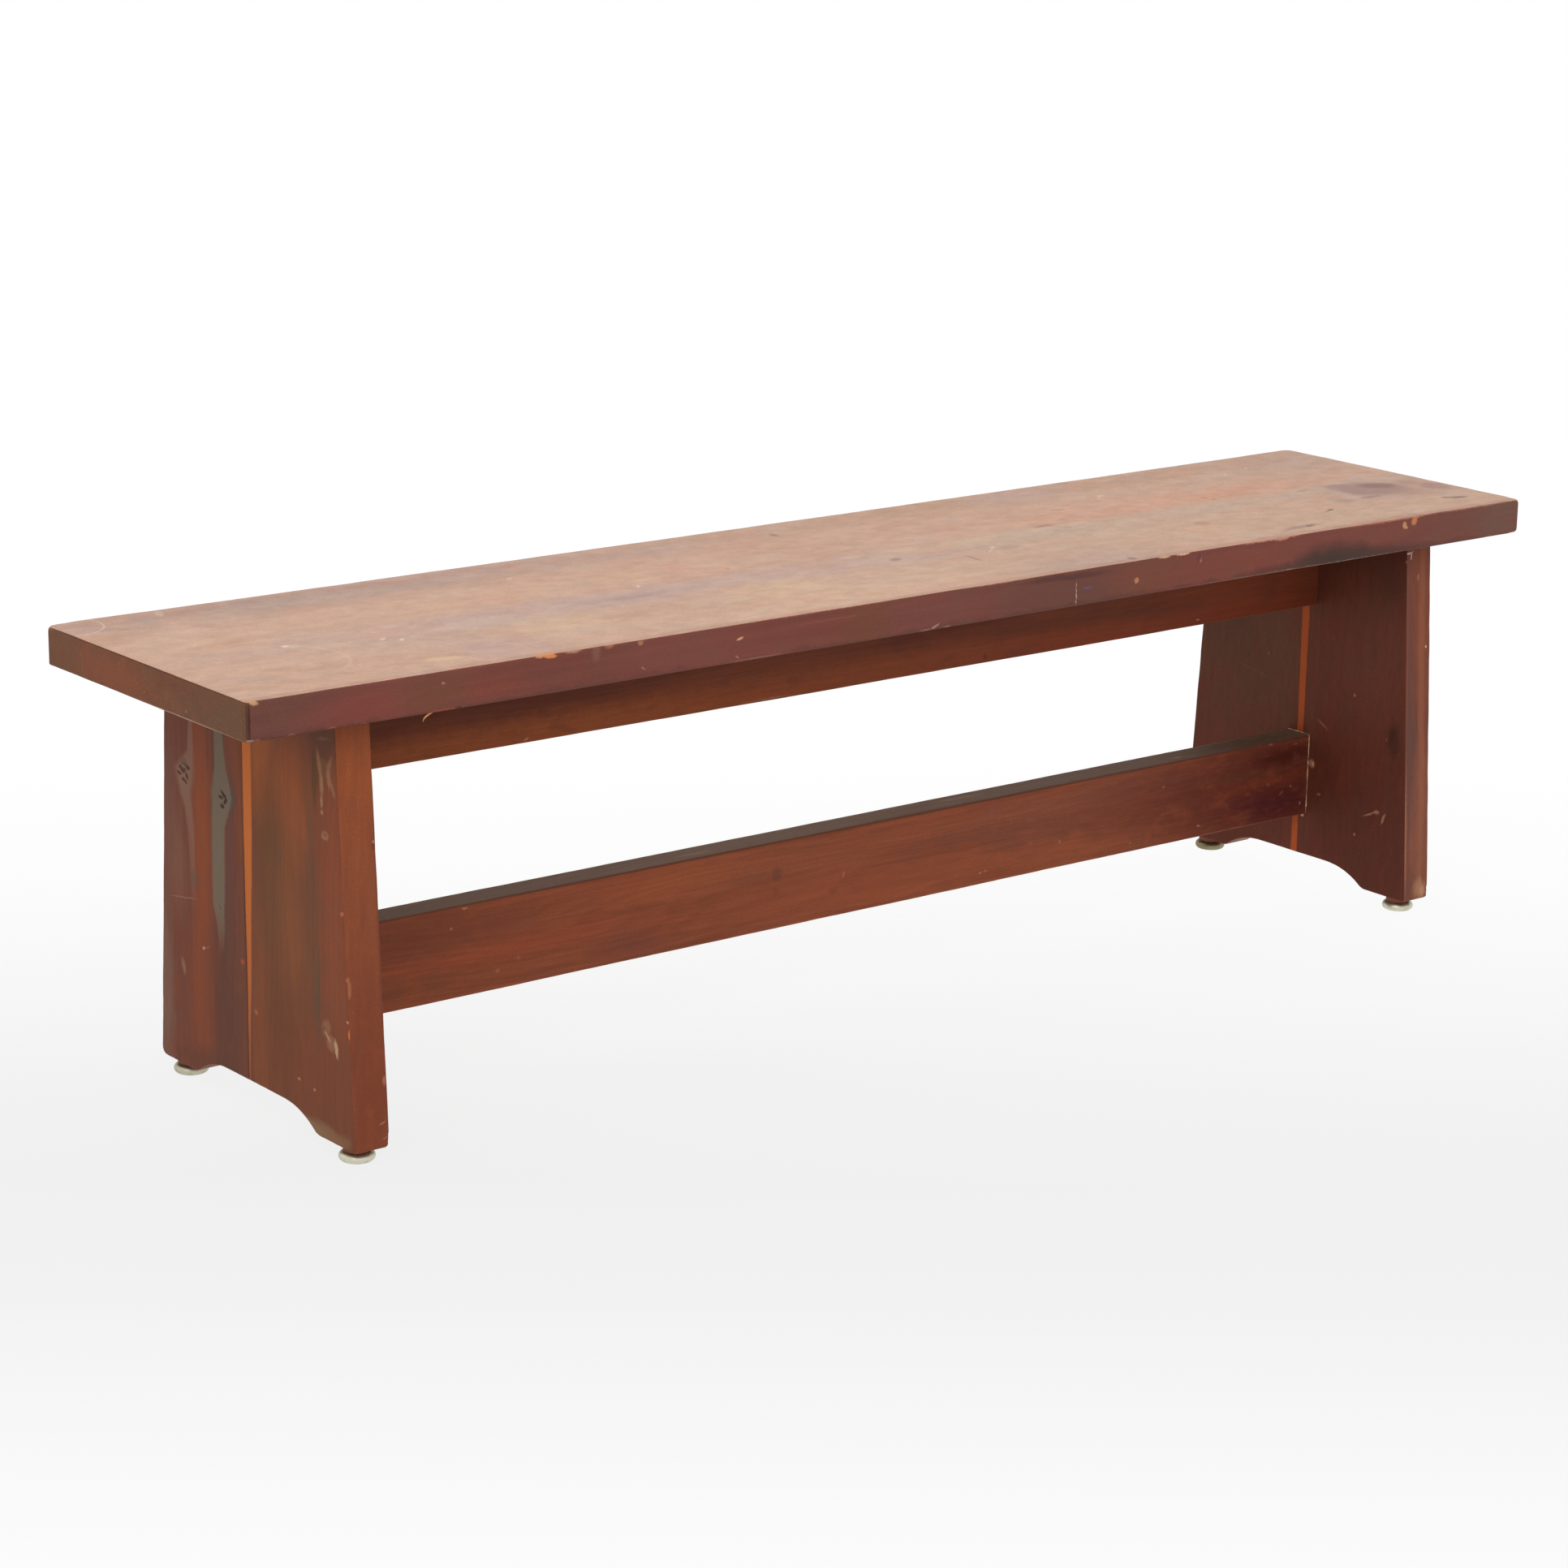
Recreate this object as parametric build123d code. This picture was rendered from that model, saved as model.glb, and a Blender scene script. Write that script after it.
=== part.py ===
from build123d import *
import os
from math import acos, degrees, sin

# A plank-end trestle bench: a two-board seat on two flared end panels, with a top rail under
# the seat, a stretcher below it, and a cushion glide under each corner.
# Frame: millimetres, +Z up, +X along the bench. The bench's front faces -Y.
# The origin lies on the floor, under the middle of the seat.

# Seat: two planks glued edge to edge.
seat_length = 1640.0
seat_width = 367.0
seat_thickness = 38.0
seat_height = 463.0  # floor to the seat's top
seat_seam_offset = 4.0  # from the bench's middle to the seam, towards the back
seat_corner_radius = 5.0
seat_top_arris = 2.5
seat_bottom_arris = 1.5

# End panels: two boards each, wider at the floor than under the seat.
seat_overhang = 109.0  # seat end to the outer face of a panel
panel_thickness = 38.0
panel_top_width = 309.0
panel_foot_width = 359.0
left_seam_offset = 11.5  # from the bench's middle to the panel's seam, towards the back
right_seam_offset = 1.0
front_foot_corner_radius = 3.5
back_foot_corner_radius = 8.0
panel_arris = 2.0

# The low arch that leaves a foot at each side of a panel: flat, then one arc down to each foot.
arch_rise = 19.0
arch_flat_width = 108.0
arch_curve_radius = 95.0

# Top rail, glued and screwed under the seat.
rail_depth = 94.0
rail_thickness = 38.0
rail_offset = -2.0  # from the bench's middle to the rail's, towards the back
rail_arris = 1.2

# Stretcher between the end panels.
stretcher_depth = 94.0
stretcher_thickness = 36.0
stretcher_height = 84.0  # floor to the stretcher's underside
stretcher_offset = -1.0  # from the bench's middle to the stretcher's, towards the back
stretcher_arris = 1.5

# Cushion glide: a nickel-plated cup, a rubber cushion in it, and the nail that holds both.
glide_height = 16.0
front_glide_inset = 28.0  # foot's outer edge to the glide's axis
back_glide_inset = 25.0
cup_radius = 17.4
cup_height = 9.2
cup_wall = 0.9
nail_radius = 1.6
nail_head_radius = 6.0
nail_head_thickness = 1.4
nail_head_height = 2.2  # floor to the underside of the nail's head
nail_grip = 22.0  # how far the nail goes into the foot
nail_point_length = 5.0
nail_point_radius = 0.3

# Dowels: plain hardwood pegs, all of one size.
dowel_radius = 4.75
dowel_grip = 25.0  # how far a dowel goes into each piece
dowel_bevel = 0.8
dowel_hole_slack = 1.5  # room for glue at each end of a dowel's hole

# Screws that pull the seat down on the top rail, from counterbores in the rail's underside.
screw_radius = 2.4
screw_grip = 21.0  # how far a screw goes into the seat
screw_head_radius = 4.8
screw_head_height = 3.0
screw_slot_width = 1.2
screw_slot_depth = 1.2
screw_point_length = 9.0
screw_point_radius = 0.4
counterbore_radius = 7.0
counterbore_depth = 49.0

fit_clearance = 0.05  # all round a dowel, nail or screw in its hole, and a cushion in its cup

# Places, as shares of what each one follows.
seat_dowel_shares = (-0.74, -0.44, -0.14, 0.14, 0.44, 0.74)  # of half the seat's length
screw_shares = (-0.86, -0.30, 0.30, 0.86)  # of half the rail's length
panel_dowel_shares = (0.16, 0.52, 0.70)  # of the panel's height, from the foot up
panel_top_dowel_shares = (-0.76, -0.30, 0.30, 0.76)  # of half the panel's top width
rail_dowel_shares = (-0.26, 0.26)  # of the rail's or stretcher's depth, about its middle

# Worked out from the sizes above.
seat_underside = seat_height - seat_thickness
rail_underside = seat_underside - rail_depth
screw_bearing = rail_underside + counterbore_depth
screw_length = seat_underside - screw_bearing + screw_grip
panel_height = seat_underside - glide_height
panel_outer_x = seat_length / 2 - seat_overhang
panel_inner_x = panel_outer_x - panel_thickness
panel_middle_x = panel_outer_x - panel_thickness / 2
rail_length = 2 * panel_inner_x
rail_middle_z = seat_underside - rail_depth / 2
stretcher_middle_z = stretcher_height + stretcher_depth / 2
arch_angle = acos(1 - arch_rise / arch_curve_radius)  # how far the arc turns before it meets the foot
arch_foot_y = arch_flat_width / 2 + arch_curve_radius * sin(arch_angle)
cup_rim_radius = cup_height / 2
cup_lip_radius = cup_radius - cup_rim_radius

# The bench's ends, as a name and a direction along X, and its faces, along Y.
SIDES = {"left": -1, "right": 1}
FACES = {"front": -1, "back": 1}
SEAMS = {"left": left_seam_offset, "right": right_seam_offset}
GLIDE_INSETS = {"front": front_glide_inset, "back": back_glide_inset}
FOOT_RADII = {"front": front_foot_corner_radius, "back": back_foot_corner_radius}

ON_BASE = (Align.CENTER, Align.CENTER, Align.MIN)
UNDER_TOP = (Align.CENTER, Align.CENTER, Align.MAX)


# Pegs: dowels, nails and screws, each with the hole that it needs.


def dowel(place, slack=0.0, clearance=0.0):
    """One dowel along a place's Z axis, or its hole if it is given slack and clearance."""
    peg = Cylinder(dowel_radius + clearance, 2 * (dowel_grip + slack))
    return place * chamfer(peg.edges().filter_by(GeomType.CIRCLE), dowel_bevel)


def dowel_hole(place):
    """The hole that a dowel at this place needs."""
    return dowel(place, slack=dowel_hole_slack, clearance=fit_clearance)


def screw_shank(clearance=0.0):
    """A screw without its head, point up, with its bearing face at z = 0, or its hole."""
    plain_length = screw_length - screw_point_length
    body = Cylinder(screw_radius + clearance, plain_length, align=ON_BASE)
    point = Cone(screw_radius + clearance, screw_point_radius + clearance, screw_point_length, align=ON_BASE)
    return body + Pos(0, 0, plain_length) * point


def screw():
    """One whole slotted round-head screw, head down."""
    head = Cylinder(screw_head_radius, screw_head_height, align=UNDER_TOP)
    head = fillet(head.edges().sort_by(Axis.Z)[0], screw_head_height / 2)
    slot = Box(2 * screw_head_radius, screw_slot_width, screw_slot_depth, align=ON_BASE)
    return screw_shank() + (head - Pos(0, 0, -screw_head_height) * slot)


def glide_nail(clearance=0.0):
    """The nail, with its broad head in the cushion and its point up in the foot, or its hole."""
    radius = nail_radius + clearance
    shank = glide_height + nail_grip - nail_point_length - nail_head_height
    head = Cylinder(nail_head_radius + clearance, nail_head_thickness + 2 * clearance, align=ON_BASE)
    body = Cylinder(radius, shank, align=ON_BASE)
    point = Cone(radius, nail_point_radius + clearance, nail_point_length, align=ON_BASE)
    nail = Pos(0, 0, -clearance) * head + body + Pos(0, 0, shank) * point
    return Pos(0, 0, nail_head_height) * nail


# Places of the pegs.


def across(x, y, z):
    """A dowel's place on a seam, along Y."""
    return Pos(x, y, z) * Rot(90, 0, 0)


def along(x, y, z):
    """A dowel's place at a rail's end, along X."""
    return Pos(x, y, z) * Rot(0, 90, 0)


def seat_seam_places():
    """Dowels that line up the seat's two planks."""
    z = seat_height - seat_thickness / 2
    return [across(share * seat_length / 2, seat_seam_offset, z) for share in seat_dowel_shares]


def panel_seam_places(side, seam_y):
    """Dowels that line up a panel's two boards."""
    x = side * panel_middle_x
    return [across(x, seam_y, glide_height + share * panel_height) for share in panel_dowel_shares]


def board_end_places(side, y, middle_z, depth):
    """Dowels that hold one end of the rail or the stretcher in a panel."""
    return [along(side * panel_inner_x, y, middle_z + share * depth) for share in rail_dowel_shares]


def panel_top_places(side):
    """Upright dowels that hold the seat on a panel."""
    x = side * panel_middle_x
    return [Pos(x, share * panel_top_width / 2, seat_underside) for share in panel_top_dowel_shares]


def screw_places():
    """Where each screw's head bears, at the bottom of its counterbore."""
    return [Pos(share * rail_length / 2, rail_offset, screw_bearing) for share in screw_shares]


def glide_place(side, face):
    """The axis of one glide, at floor level."""
    y = FACES[face] * (panel_foot_width / 2 - GLIDE_INSETS[face])
    return Pos(side * panel_middle_x, y, 0)


# Boards.


def drilled(piece, holes):
    """The piece as one solid, with a hole for each peg that reaches it."""
    for hole in holes:
        piece -= hole
    return piece.solid()


def half_space(face, seam_y):
    """A block that covers everything on one side of a seam."""
    reach = seat_length + seat_width + seat_height
    return Pos(0, seam_y + FACES[face] * reach / 2, 0) * Box(reach, reach, reach)


def panel_outline():
    """The panel's face in the YZ plane, with its flared sides and its arch."""
    top, foot, flat = panel_top_width / 2, panel_foot_width / 2, arch_flat_width / 2
    ceiling = glide_height + arch_rise
    turn = degrees(arch_angle)
    front_arc = CenterArc((-flat, ceiling - arch_curve_radius), arch_curve_radius, 90, turn)
    back_arc = CenterArc((flat, ceiling - arch_curve_radius), arch_curve_radius, 90, -turn)
    sides = Polyline(
        (arch_foot_y, glide_height),
        (foot, glide_height),
        (top, seat_underside),
        (-top, seat_underside),
        (-foot, glide_height),
        (-arch_foot_y, glide_height),
    )
    return make_face(sides + front_arc + Line((-flat, ceiling), (flat, ceiling)) + back_arc)


def end_panel(side):
    """One whole end panel with its arrises eased, before it is parted at its glue seam."""
    panel = extrude(Plane.YZ.offset(side * panel_middle_x) * panel_outline(), panel_thickness / 2, both=True)
    for face, direction in FACES.items():
        foot_corner = min(
            panel.edges().filter_by(Axis.X),
            key=lambda edge: abs(edge.center().Y - direction * panel_foot_width / 2) + edge.center().Z,
        )
        panel = fillet(foot_corner, FOOT_RADII[face])
    rims = [
        edge
        for face in panel.faces().filter_by(Axis.X)
        for edge in face.edges()
        if edge.center().Z < seat_underside - panel_arris
    ]
    return fillet(rims, panel_arris)


def seat():
    """The whole seat with its arrises eased, before it is parted at its glue seam."""
    block = Pos(0, 0, seat_underside) * Box(seat_length, seat_width, seat_thickness, align=ON_BASE)
    block = fillet(block.edges().filter_by(Axis.Z), seat_corner_radius)
    block = fillet(block.faces().sort_by(Axis.Z)[-1].edges(), seat_top_arris)
    return fillet(block.faces().sort_by(Axis.Z)[0].edges(), seat_bottom_arris)


def top_rail():
    """The board under the seat, with its lower arrises eased and its counterbores."""
    rail = Pos(0, rail_offset, rail_underside) * Box(rail_length, rail_thickness, rail_depth, align=ON_BASE)
    rail = fillet(rail.faces().sort_by(Axis.Z)[0].edges().filter_by(Axis.X), rail_arris)
    counterbore = Cylinder(counterbore_radius, counterbore_depth, align=UNDER_TOP)
    for place in screw_places():
        rail -= place * counterbore
    return rail


def stretcher():
    """The low board between the end panels, with its four long arrises eased."""
    board = Pos(0, stretcher_offset, stretcher_height) * Box(
        rail_length, stretcher_thickness, stretcher_depth, align=ON_BASE
    )
    return fillet(board.edges().filter_by(Axis.X), stretcher_arris)


# Glides.


def cup_section(wall):
    """Half the cup's section, drawn in from its outside by wall: a disc with a half-round rim."""
    rim = CenterArc((cup_lip_radius, cup_rim_radius), cup_rim_radius - wall, -90, 180)
    top, base = cup_height - wall, wall
    return make_face(rim + Polyline((cup_lip_radius, top), (0, top), (0, base), (cup_lip_radius, base)))


def glide_cup():
    """The pressed cup: a shell whose rim curls in over the cushion."""
    outside = revolve(Plane.XZ * cup_section(0), Axis.Z)
    hollow = revolve(Plane.XZ * cup_section(cup_wall), Axis.Z)
    mouth = Pos(0, 0, cup_rim_radius) * Cylinder(cup_lip_radius, cup_height, align=ON_BASE)
    return (outside - hollow - mouth).solid()


def glide_cushion():
    """The rubber cushion: a flange that fills the cup, and a neck up to the foot."""
    flange = revolve(Plane.XZ * cup_section(cup_wall + fit_clearance), Axis.Z)
    neck = Cylinder(cup_lip_radius - fit_clearance, glide_height - cup_rim_radius, align=ON_BASE)
    return (flange + Pos(0, 0, cup_rim_radius) * neck - glide_nail(fit_clearance)).solid()


# Writing the pieces.


def write(name, shape):
    """Writes one piece, or one group of like pieces, under its own name."""
    export_step(shape, os.path.join("parts", name + ".step"))


def write_dowels(name, places):
    """Writes the dowels of one joint as a group, and gives back their holes."""
    write(name, Compound([dowel(place).solid() for place in places]))
    return [dowel_hole(place) for place in places]


def write_end(name, side):
    """Writes one end of the bench, and gives back the holes for its rail, stretcher and seat dowels."""
    seam_holes = write_dowels(name + "_panel_seam_dowels", panel_seam_places(side, SEAMS[name]))
    rail_places = board_end_places(side, rail_offset, rail_middle_z, rail_depth)
    rail_holes = write_dowels(name + "_rail_dowels", rail_places)
    stretcher_places = board_end_places(side, stretcher_offset, stretcher_middle_z, stretcher_depth)
    stretcher_holes = write_dowels(name + "_stretcher_dowels", stretcher_places)
    seat_holes = write_dowels(name + "_seat_dowels", panel_top_places(side))
    nail_holes = [glide_place(side, face) * glide_nail(fit_clearance) for face in FACES]
    panel = end_panel(side)
    for face in FACES:
        board = panel & half_space(face, SEAMS[name])
        holes = seam_holes + rail_holes + stretcher_holes + seat_holes + nail_holes
        write(f"{name}_panel_{face}_board", drilled(board, holes))
        write(f"{name}_{face}_glide_cup", glide_place(side, face) * glide_cup())
        write(f"{name}_{face}_glide_cushion", glide_place(side, face) * glide_cushion())
        write(f"{name}_{face}_glide_nail", glide_place(side, face) * glide_nail().solid())
    return rail_holes, stretcher_holes, seat_holes


def main():
    """Builds every piece and writes its file."""
    os.makedirs("parts", exist_ok=True)
    screw_holes = [place * screw_shank(fit_clearance) for place in screw_places()]
    rail_holes, stretcher_holes, seat_holes = list(screw_holes), [], list(screw_holes)
    for name, side in SIDES.items():
        end_holes = write_end(name, side)
        rail_holes += end_holes[0]
        stretcher_holes += end_holes[1]
        seat_holes += end_holes[2]
    seat_holes += write_dowels("seat_seam_dowels", seat_seam_places())
    write("seat_screws", Compound([place * screw().solid() for place in screw_places()]))
    write("top_rail", drilled(top_rail(), rail_holes))
    write("stretcher", drilled(stretcher(), stretcher_holes))
    for face in FACES:
        write(f"seat_{face}_board", drilled(seat() & half_space(face, seat_seam_offset), seat_holes))


main()
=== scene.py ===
"""Looks of a plain plank bench: a two-board seat, flared plank ends, a rail, a stretcher and four glides.

Sizes and places are in millimetres, with the floor at height 0, the bench's length along X and its
front towards -Y. Meshes are scaled to metres when they are made.
"""

import logging
import math
from collections.abc import Callable, Iterable, Sequence
from dataclasses import dataclass
from enum import Enum

import bpy
import numpy as np
from mathutils import Matrix, Vector


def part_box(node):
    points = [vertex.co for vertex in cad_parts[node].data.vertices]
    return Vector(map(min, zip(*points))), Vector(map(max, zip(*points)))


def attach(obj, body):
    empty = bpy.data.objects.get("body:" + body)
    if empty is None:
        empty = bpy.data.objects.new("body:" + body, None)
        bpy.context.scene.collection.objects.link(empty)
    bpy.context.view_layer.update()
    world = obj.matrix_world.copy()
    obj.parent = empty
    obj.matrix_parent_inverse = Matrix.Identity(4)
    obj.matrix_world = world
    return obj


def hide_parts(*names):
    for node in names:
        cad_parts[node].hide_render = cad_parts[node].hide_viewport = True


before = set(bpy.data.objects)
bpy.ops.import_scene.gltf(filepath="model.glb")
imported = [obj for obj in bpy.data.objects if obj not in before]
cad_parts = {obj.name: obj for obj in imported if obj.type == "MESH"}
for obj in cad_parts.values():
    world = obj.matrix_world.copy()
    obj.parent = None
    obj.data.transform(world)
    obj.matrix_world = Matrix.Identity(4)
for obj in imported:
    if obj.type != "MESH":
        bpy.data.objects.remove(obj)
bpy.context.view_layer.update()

MM = 0.001
BODY = "root"
FAR = 1.0e6

log = logging.getLogger("bench")

Tone = int  # a colour as a screen shows it: two hex digits each for red, green and blue
Point = tuple[float, float, float]


# Shader maths


def operator(operation: str, swapped: bool = False) -> Callable[..., "Signal"]:
    """Makes one of Signal's operators.

    Args:
        operation: the Math node's name for it.
        swapped: whether the other value comes first, as in 1 - mask.

    Returns:
        The method, which adds the Math node and gives back its value.
    """
    def method(self: "Signal", other: "Signal | float" = 0.0) -> "Signal":
        """Adds the node."""
        values = (other, self) if swapped else (self, other)
        return self.recipe.node("ShaderNodeMath", {"operation": operation}, dict(enumerate(values)))

    return method


class Signal:
    """A number, colour or vector that varies over a surface: one output socket of a recipe."""

    def __init__(self, recipe: "Recipe", socket: bpy.types.NodeSocket) -> None:
        """Args: recipe: the node tree's owner. socket: the output that carries the signal."""
        self.recipe = recipe
        self.socket = socket

    __add__, __radd__ = operator("ADD"), operator("ADD", swapped=True)
    __sub__, __rsub__ = operator("SUBTRACT"), operator("SUBTRACT", swapped=True)
    __mul__, __rmul__ = operator("MULTIPLY"), operator("MULTIPLY", swapped=True)
    __truediv__, __rtruediv__ = operator("DIVIDE"), operator("DIVIDE", swapped=True)
    __abs__ = operator("ABSOLUTE")
    least = operator("MINIMUM")


Where = tuple[Signal, Signal, Signal]


def tone(colour: Tone) -> tuple[float, float, float, float]:
    """Turns a colour as a screen shows it into the linear values that a shader takes.

    Args:
        colour: the colour, such as 0xFF8000 for orange.

    Returns:
        Linear red, green, blue and an alpha of 1.
    """
    def linear(level: float) -> float:
        """One channel, from the screen's curve to linear light."""
        return level / 12.92 if level <= 0.04045 else ((level + 0.055) / 1.055) ** 2.4

    red, green, blue = (linear(channel / 255) for channel in colour.to_bytes(3, "big"))
    return red, green, blue, 1.0


class Recipe:
    """The node tree of one material, with the few kinds of node that the finishes share."""

    def __init__(self, name: str) -> None:
        """Args: name: the material's name."""
        self.material = bpy.data.materials.new(name)
        self.material.use_nodes = True
        self.tree = self.material.node_tree
        self.tree.nodes.clear()
        self.here = self.place()

    def node(self, kind: str, settings: dict[str, object] | None = None,
             sockets: dict[int | str, object] | None = None, output: int | str = 0) -> Signal:
        """Adds a node.

        Args:
            kind: Blender's type name of the node.
            settings: the node's own properties, set first. The key stops holds a ramp's places and colours.
            sockets: a value or a Signal for each input, by index or name.
            output: which output to return.

        Returns:
            The chosen output.
        """
        made = self.tree.nodes.new(kind)
        for name, value in (settings or {}).items():
            if name == "stops":
                ramp = made.color_ramp
                while len(ramp.elements) < len(value):
                    ramp.elements.new(0.5)
                for element, (place, colour) in zip(ramp.elements, value):
                    element.position, element.color = place, colour
            else:
                setattr(made, name, value)
        for key, value in (sockets or {}).items():
            if isinstance(value, Signal):
                self.tree.links.new(value.socket, made.inputs[key])
            else:
                made.inputs[key].default_value = value
        return Signal(self, made.outputs[output])

    def vector(self, operation: str, *values: object, output: int | str = 0, **named: float) -> Signal:
        """Adds a Vector Math node.

        Args:
            operation: the node's name for what it does.
            values: what its first sockets get.
            output: which output to return.
            named: what sockets get that have names.

        Returns:
            The chosen output.
        """
        sockets = {**dict(enumerate(values)), **named}
        return self.node("ShaderNodeVectorMath", {"operation": operation}, sockets, output)

    def place(self) -> Signal:
        """The point on the bench, in millimetres."""
        return self.vector("SCALE", self.node("ShaderNodeTexCoord", output="Object"), Scale=1 / MM)

    def parts(self, vector: Signal) -> Where:
        """The three numbers of a vector."""
        split = self.node("ShaderNodeSeparateXYZ", sockets={0: vector})
        return tuple(Signal(self, output) for output in split.socket.node.outputs)

    def joined(self, x: Signal | float, y: Signal | float, z: Signal | float = 0.0) -> Signal:
        """A vector of three numbers."""
        return self.node("ShaderNodeCombineXYZ", sockets={0: x, 1: y, 2: z})

    def reach(self, vector: Signal) -> Signal:
        """A vector's length."""
        return self.vector("LENGTH", vector, output="Value")

    def scaled(self, vector: Signal, sizes: Point) -> Signal:
        """The vector with each number divided by the size of its axis."""
        return self.vector("MULTIPLY", vector, tuple(1 / size for size in sizes))

    def noise(self, vector: Signal, sizes: Point, detail: float = 3.0, rough: float = 0.5,
              twist: float = 0.0, shift: float = 0.0) -> Signal:
        """Soft noise between 0 and 1 whose lumps are about as large as sizes, in millimetres.

        Args:
            vector: the point.
            sizes: lump size along each axis.
            detail: how many finer layers it has.
            rough: how strong the finer layers are.
            twist: how far the noise is stirred.
            shift: a number that sets this noise apart from others of its size.

        Returns:
            The noise value.
        """
        moved = self.vector("ADD", self.scaled(vector, sizes), (shift, shift * 1.7, shift * 0.6))
        return self.node("ShaderNodeTexNoise", None, {"Vector": moved, "Scale": 1.0, "Detail": detail,
                                                      "Roughness": rough, "Distortion": twist})

    def fade(self, value: Signal, start: float, end: float, low: float = 0.0, high: float = 1.0) -> Signal:
        """An eased step: low where value is at start or beyond it, high where it is at end or beyond it."""
        return self.node("ShaderNodeMapRange", {"interpolation_type": "SMOOTHSTEP"},
                         {"Value": value, "From Min": start, "From Max": end, "To Min": low, "To Max": high})

    def spread(self, value: Signal, low: float, high: float) -> Signal:
        """A value between 0 and 1, spread between low and high."""
        return self.node("ShaderNodeMapRange", None,
                         {"Value": value, "From Min": 0.0, "From Max": 1.0, "To Min": low, "To Max": high})

    def mix(self, factor: Signal | float, first: Signal | Tone, second: Signal | Tone,
            blend: str = "MIX") -> Signal:
        """One colour changed towards another, by a factor and Blender's name for how they combine."""
        first, second = (c if isinstance(c, Signal) else tone(c) for c in (first, second))
        return self.node("ShaderNodeMix", {"data_type": "RGBA", "blend_type": blend},
                         {0: factor, 6: first, 7: second}, output=2)

    def shaded(self, colour: Signal, amount: Signal | float) -> Signal:
        """A colour times a number."""
        grey = self.node("ShaderNodeCombineColor", None, {0: amount, 1: amount, 2: amount})
        return self.mix(1.0, colour, grey, "MULTIPLY")

    def tinted(self, colour: Signal, factors: Point) -> Signal:
        """A colour with each channel times its own number."""
        return self.node("ShaderNodeMix", {"data_type": "RGBA", "blend_type": "MULTIPLY"},
                         {0: 1.0, 6: colour, 7: (*factors, 1.0)}, output=2)

    def spot(self, sheet: Signal, middle: tuple[float, float], half: tuple[float, float],
             turn: float = 0.0) -> Signal:
        """Where a point lies in a mark: nothing at its middle, and 1 long at its rim, in any direction.

        Args:
            sheet: the face's coordinates.
            middle: the mark's place along and down the face.
            half: half of its length and half of its width.
            turn: how far it is turned, in degrees.

        Returns:
            The place in the mark as a vector.
        """
        if not turn:
            start = (-middle[0] / half[0], -middle[1] / half[1], 0.0)
            return self.vector("MULTIPLY_ADD", sheet, (1 / half[0], 1 / half[1], 0.0), start)
        moved = self.vector("SUBTRACT", sheet, (*middle, 0.0))
        cos, sin = math.cos(math.radians(turn)), math.sin(math.radians(turn))
        ways = ((cos / half[0], sin / half[0], 0.0), (-sin / half[1], cos / half[1], 0.0))
        return self.joined(*(self.vector("DOT_PRODUCT", moved, way, output="Value") for way in ways))

    def finish(self, colour: Signal | Tone, rough: Signal | float, height: Signal | None = None,
               bump_depth: float = 0.3, metal: float = 0.0, specular: float = 0.5) -> bpy.types.Material:
        """Closes the recipe with its shader.

        Args:
            colour: the base colour.
            rough: the roughness.
            height: relief in millimetres, or None where the mesh alone gives the shape.
            bump_depth: strength of the relief, from 0 to 1.
            metal: 1 for a metal.
            specular: the shader's specular level.

        Returns:
            The material.
        """
        colour = colour if isinstance(colour, Signal) else tone(colour)
        sockets = {"Base Color": colour, "Roughness": rough, "Metallic": metal,
                   "Specular IOR Level": specular}
        if height is not None:
            sockets["Normal"] = self.node("ShaderNodeBump", None,
                                          {"Strength": bump_depth, "Distance": MM, "Height": height})
        return self.closed(self.node("ShaderNodeBsdfPrincipled", None, sockets))

    def closed(self, shader: Signal) -> bpy.types.Material:
        """Links a shader to the material's surface, and gives back the material."""
        output = self.tree.nodes.new("ShaderNodeOutputMaterial")
        self.tree.links.new(shader.socket, output.inputs["Surface"])
        return self.material


# What has happened to a face


class Rim(Enum):
    """How a mark's outline runs: how far it is pulled along the grain, bent across it, and frayed."""

    STREAKED = (26.0, 6.0, 1.5)
    CLOUDED = (16.0, 16.0, 6.0)
    CLEAN = (2.0, 1.2, 3.2)
    STRAIGHT = (0.0, 1.6, 1.2)


STREAKED, CLOUDED, CLEAN, STRAIGHT = Rim


@dataclass(frozen=True)
class Mark:
    """A stain, scuff, dent, patch of another colour or patch of painted shade on one face.

    Its middle is given along and down the face, its size as length along the face and width down it.
    """

    along: float
    down: float
    length: float
    width: float
    colour: Tone
    strength: float = 0.7
    turn: float = 0.0
    soft: float = 1.0
    rim: Rim = CLEAN
    dent: float = 0.0

    def mask(self, recipe: Recipe, sheets: dict[Rim, Signal]) -> Signal:
        """How much of the mark there is at each point, from 0 to 1.

        Args:
            recipe: the material that the mark belongs to.
            sheets: the face's coordinates for each kind of rim.

        Returns:
            The mask.
        """
        half = (self.length / 2, self.width / 2)
        spot = recipe.spot(sheets[self.rim], (self.along, self.down), half, self.turn)
        return recipe.fade(recipe.reach(spot), 1.0 + self.soft / 2, 1.0 - self.soft / 2, 0.0, self.strength)


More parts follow.
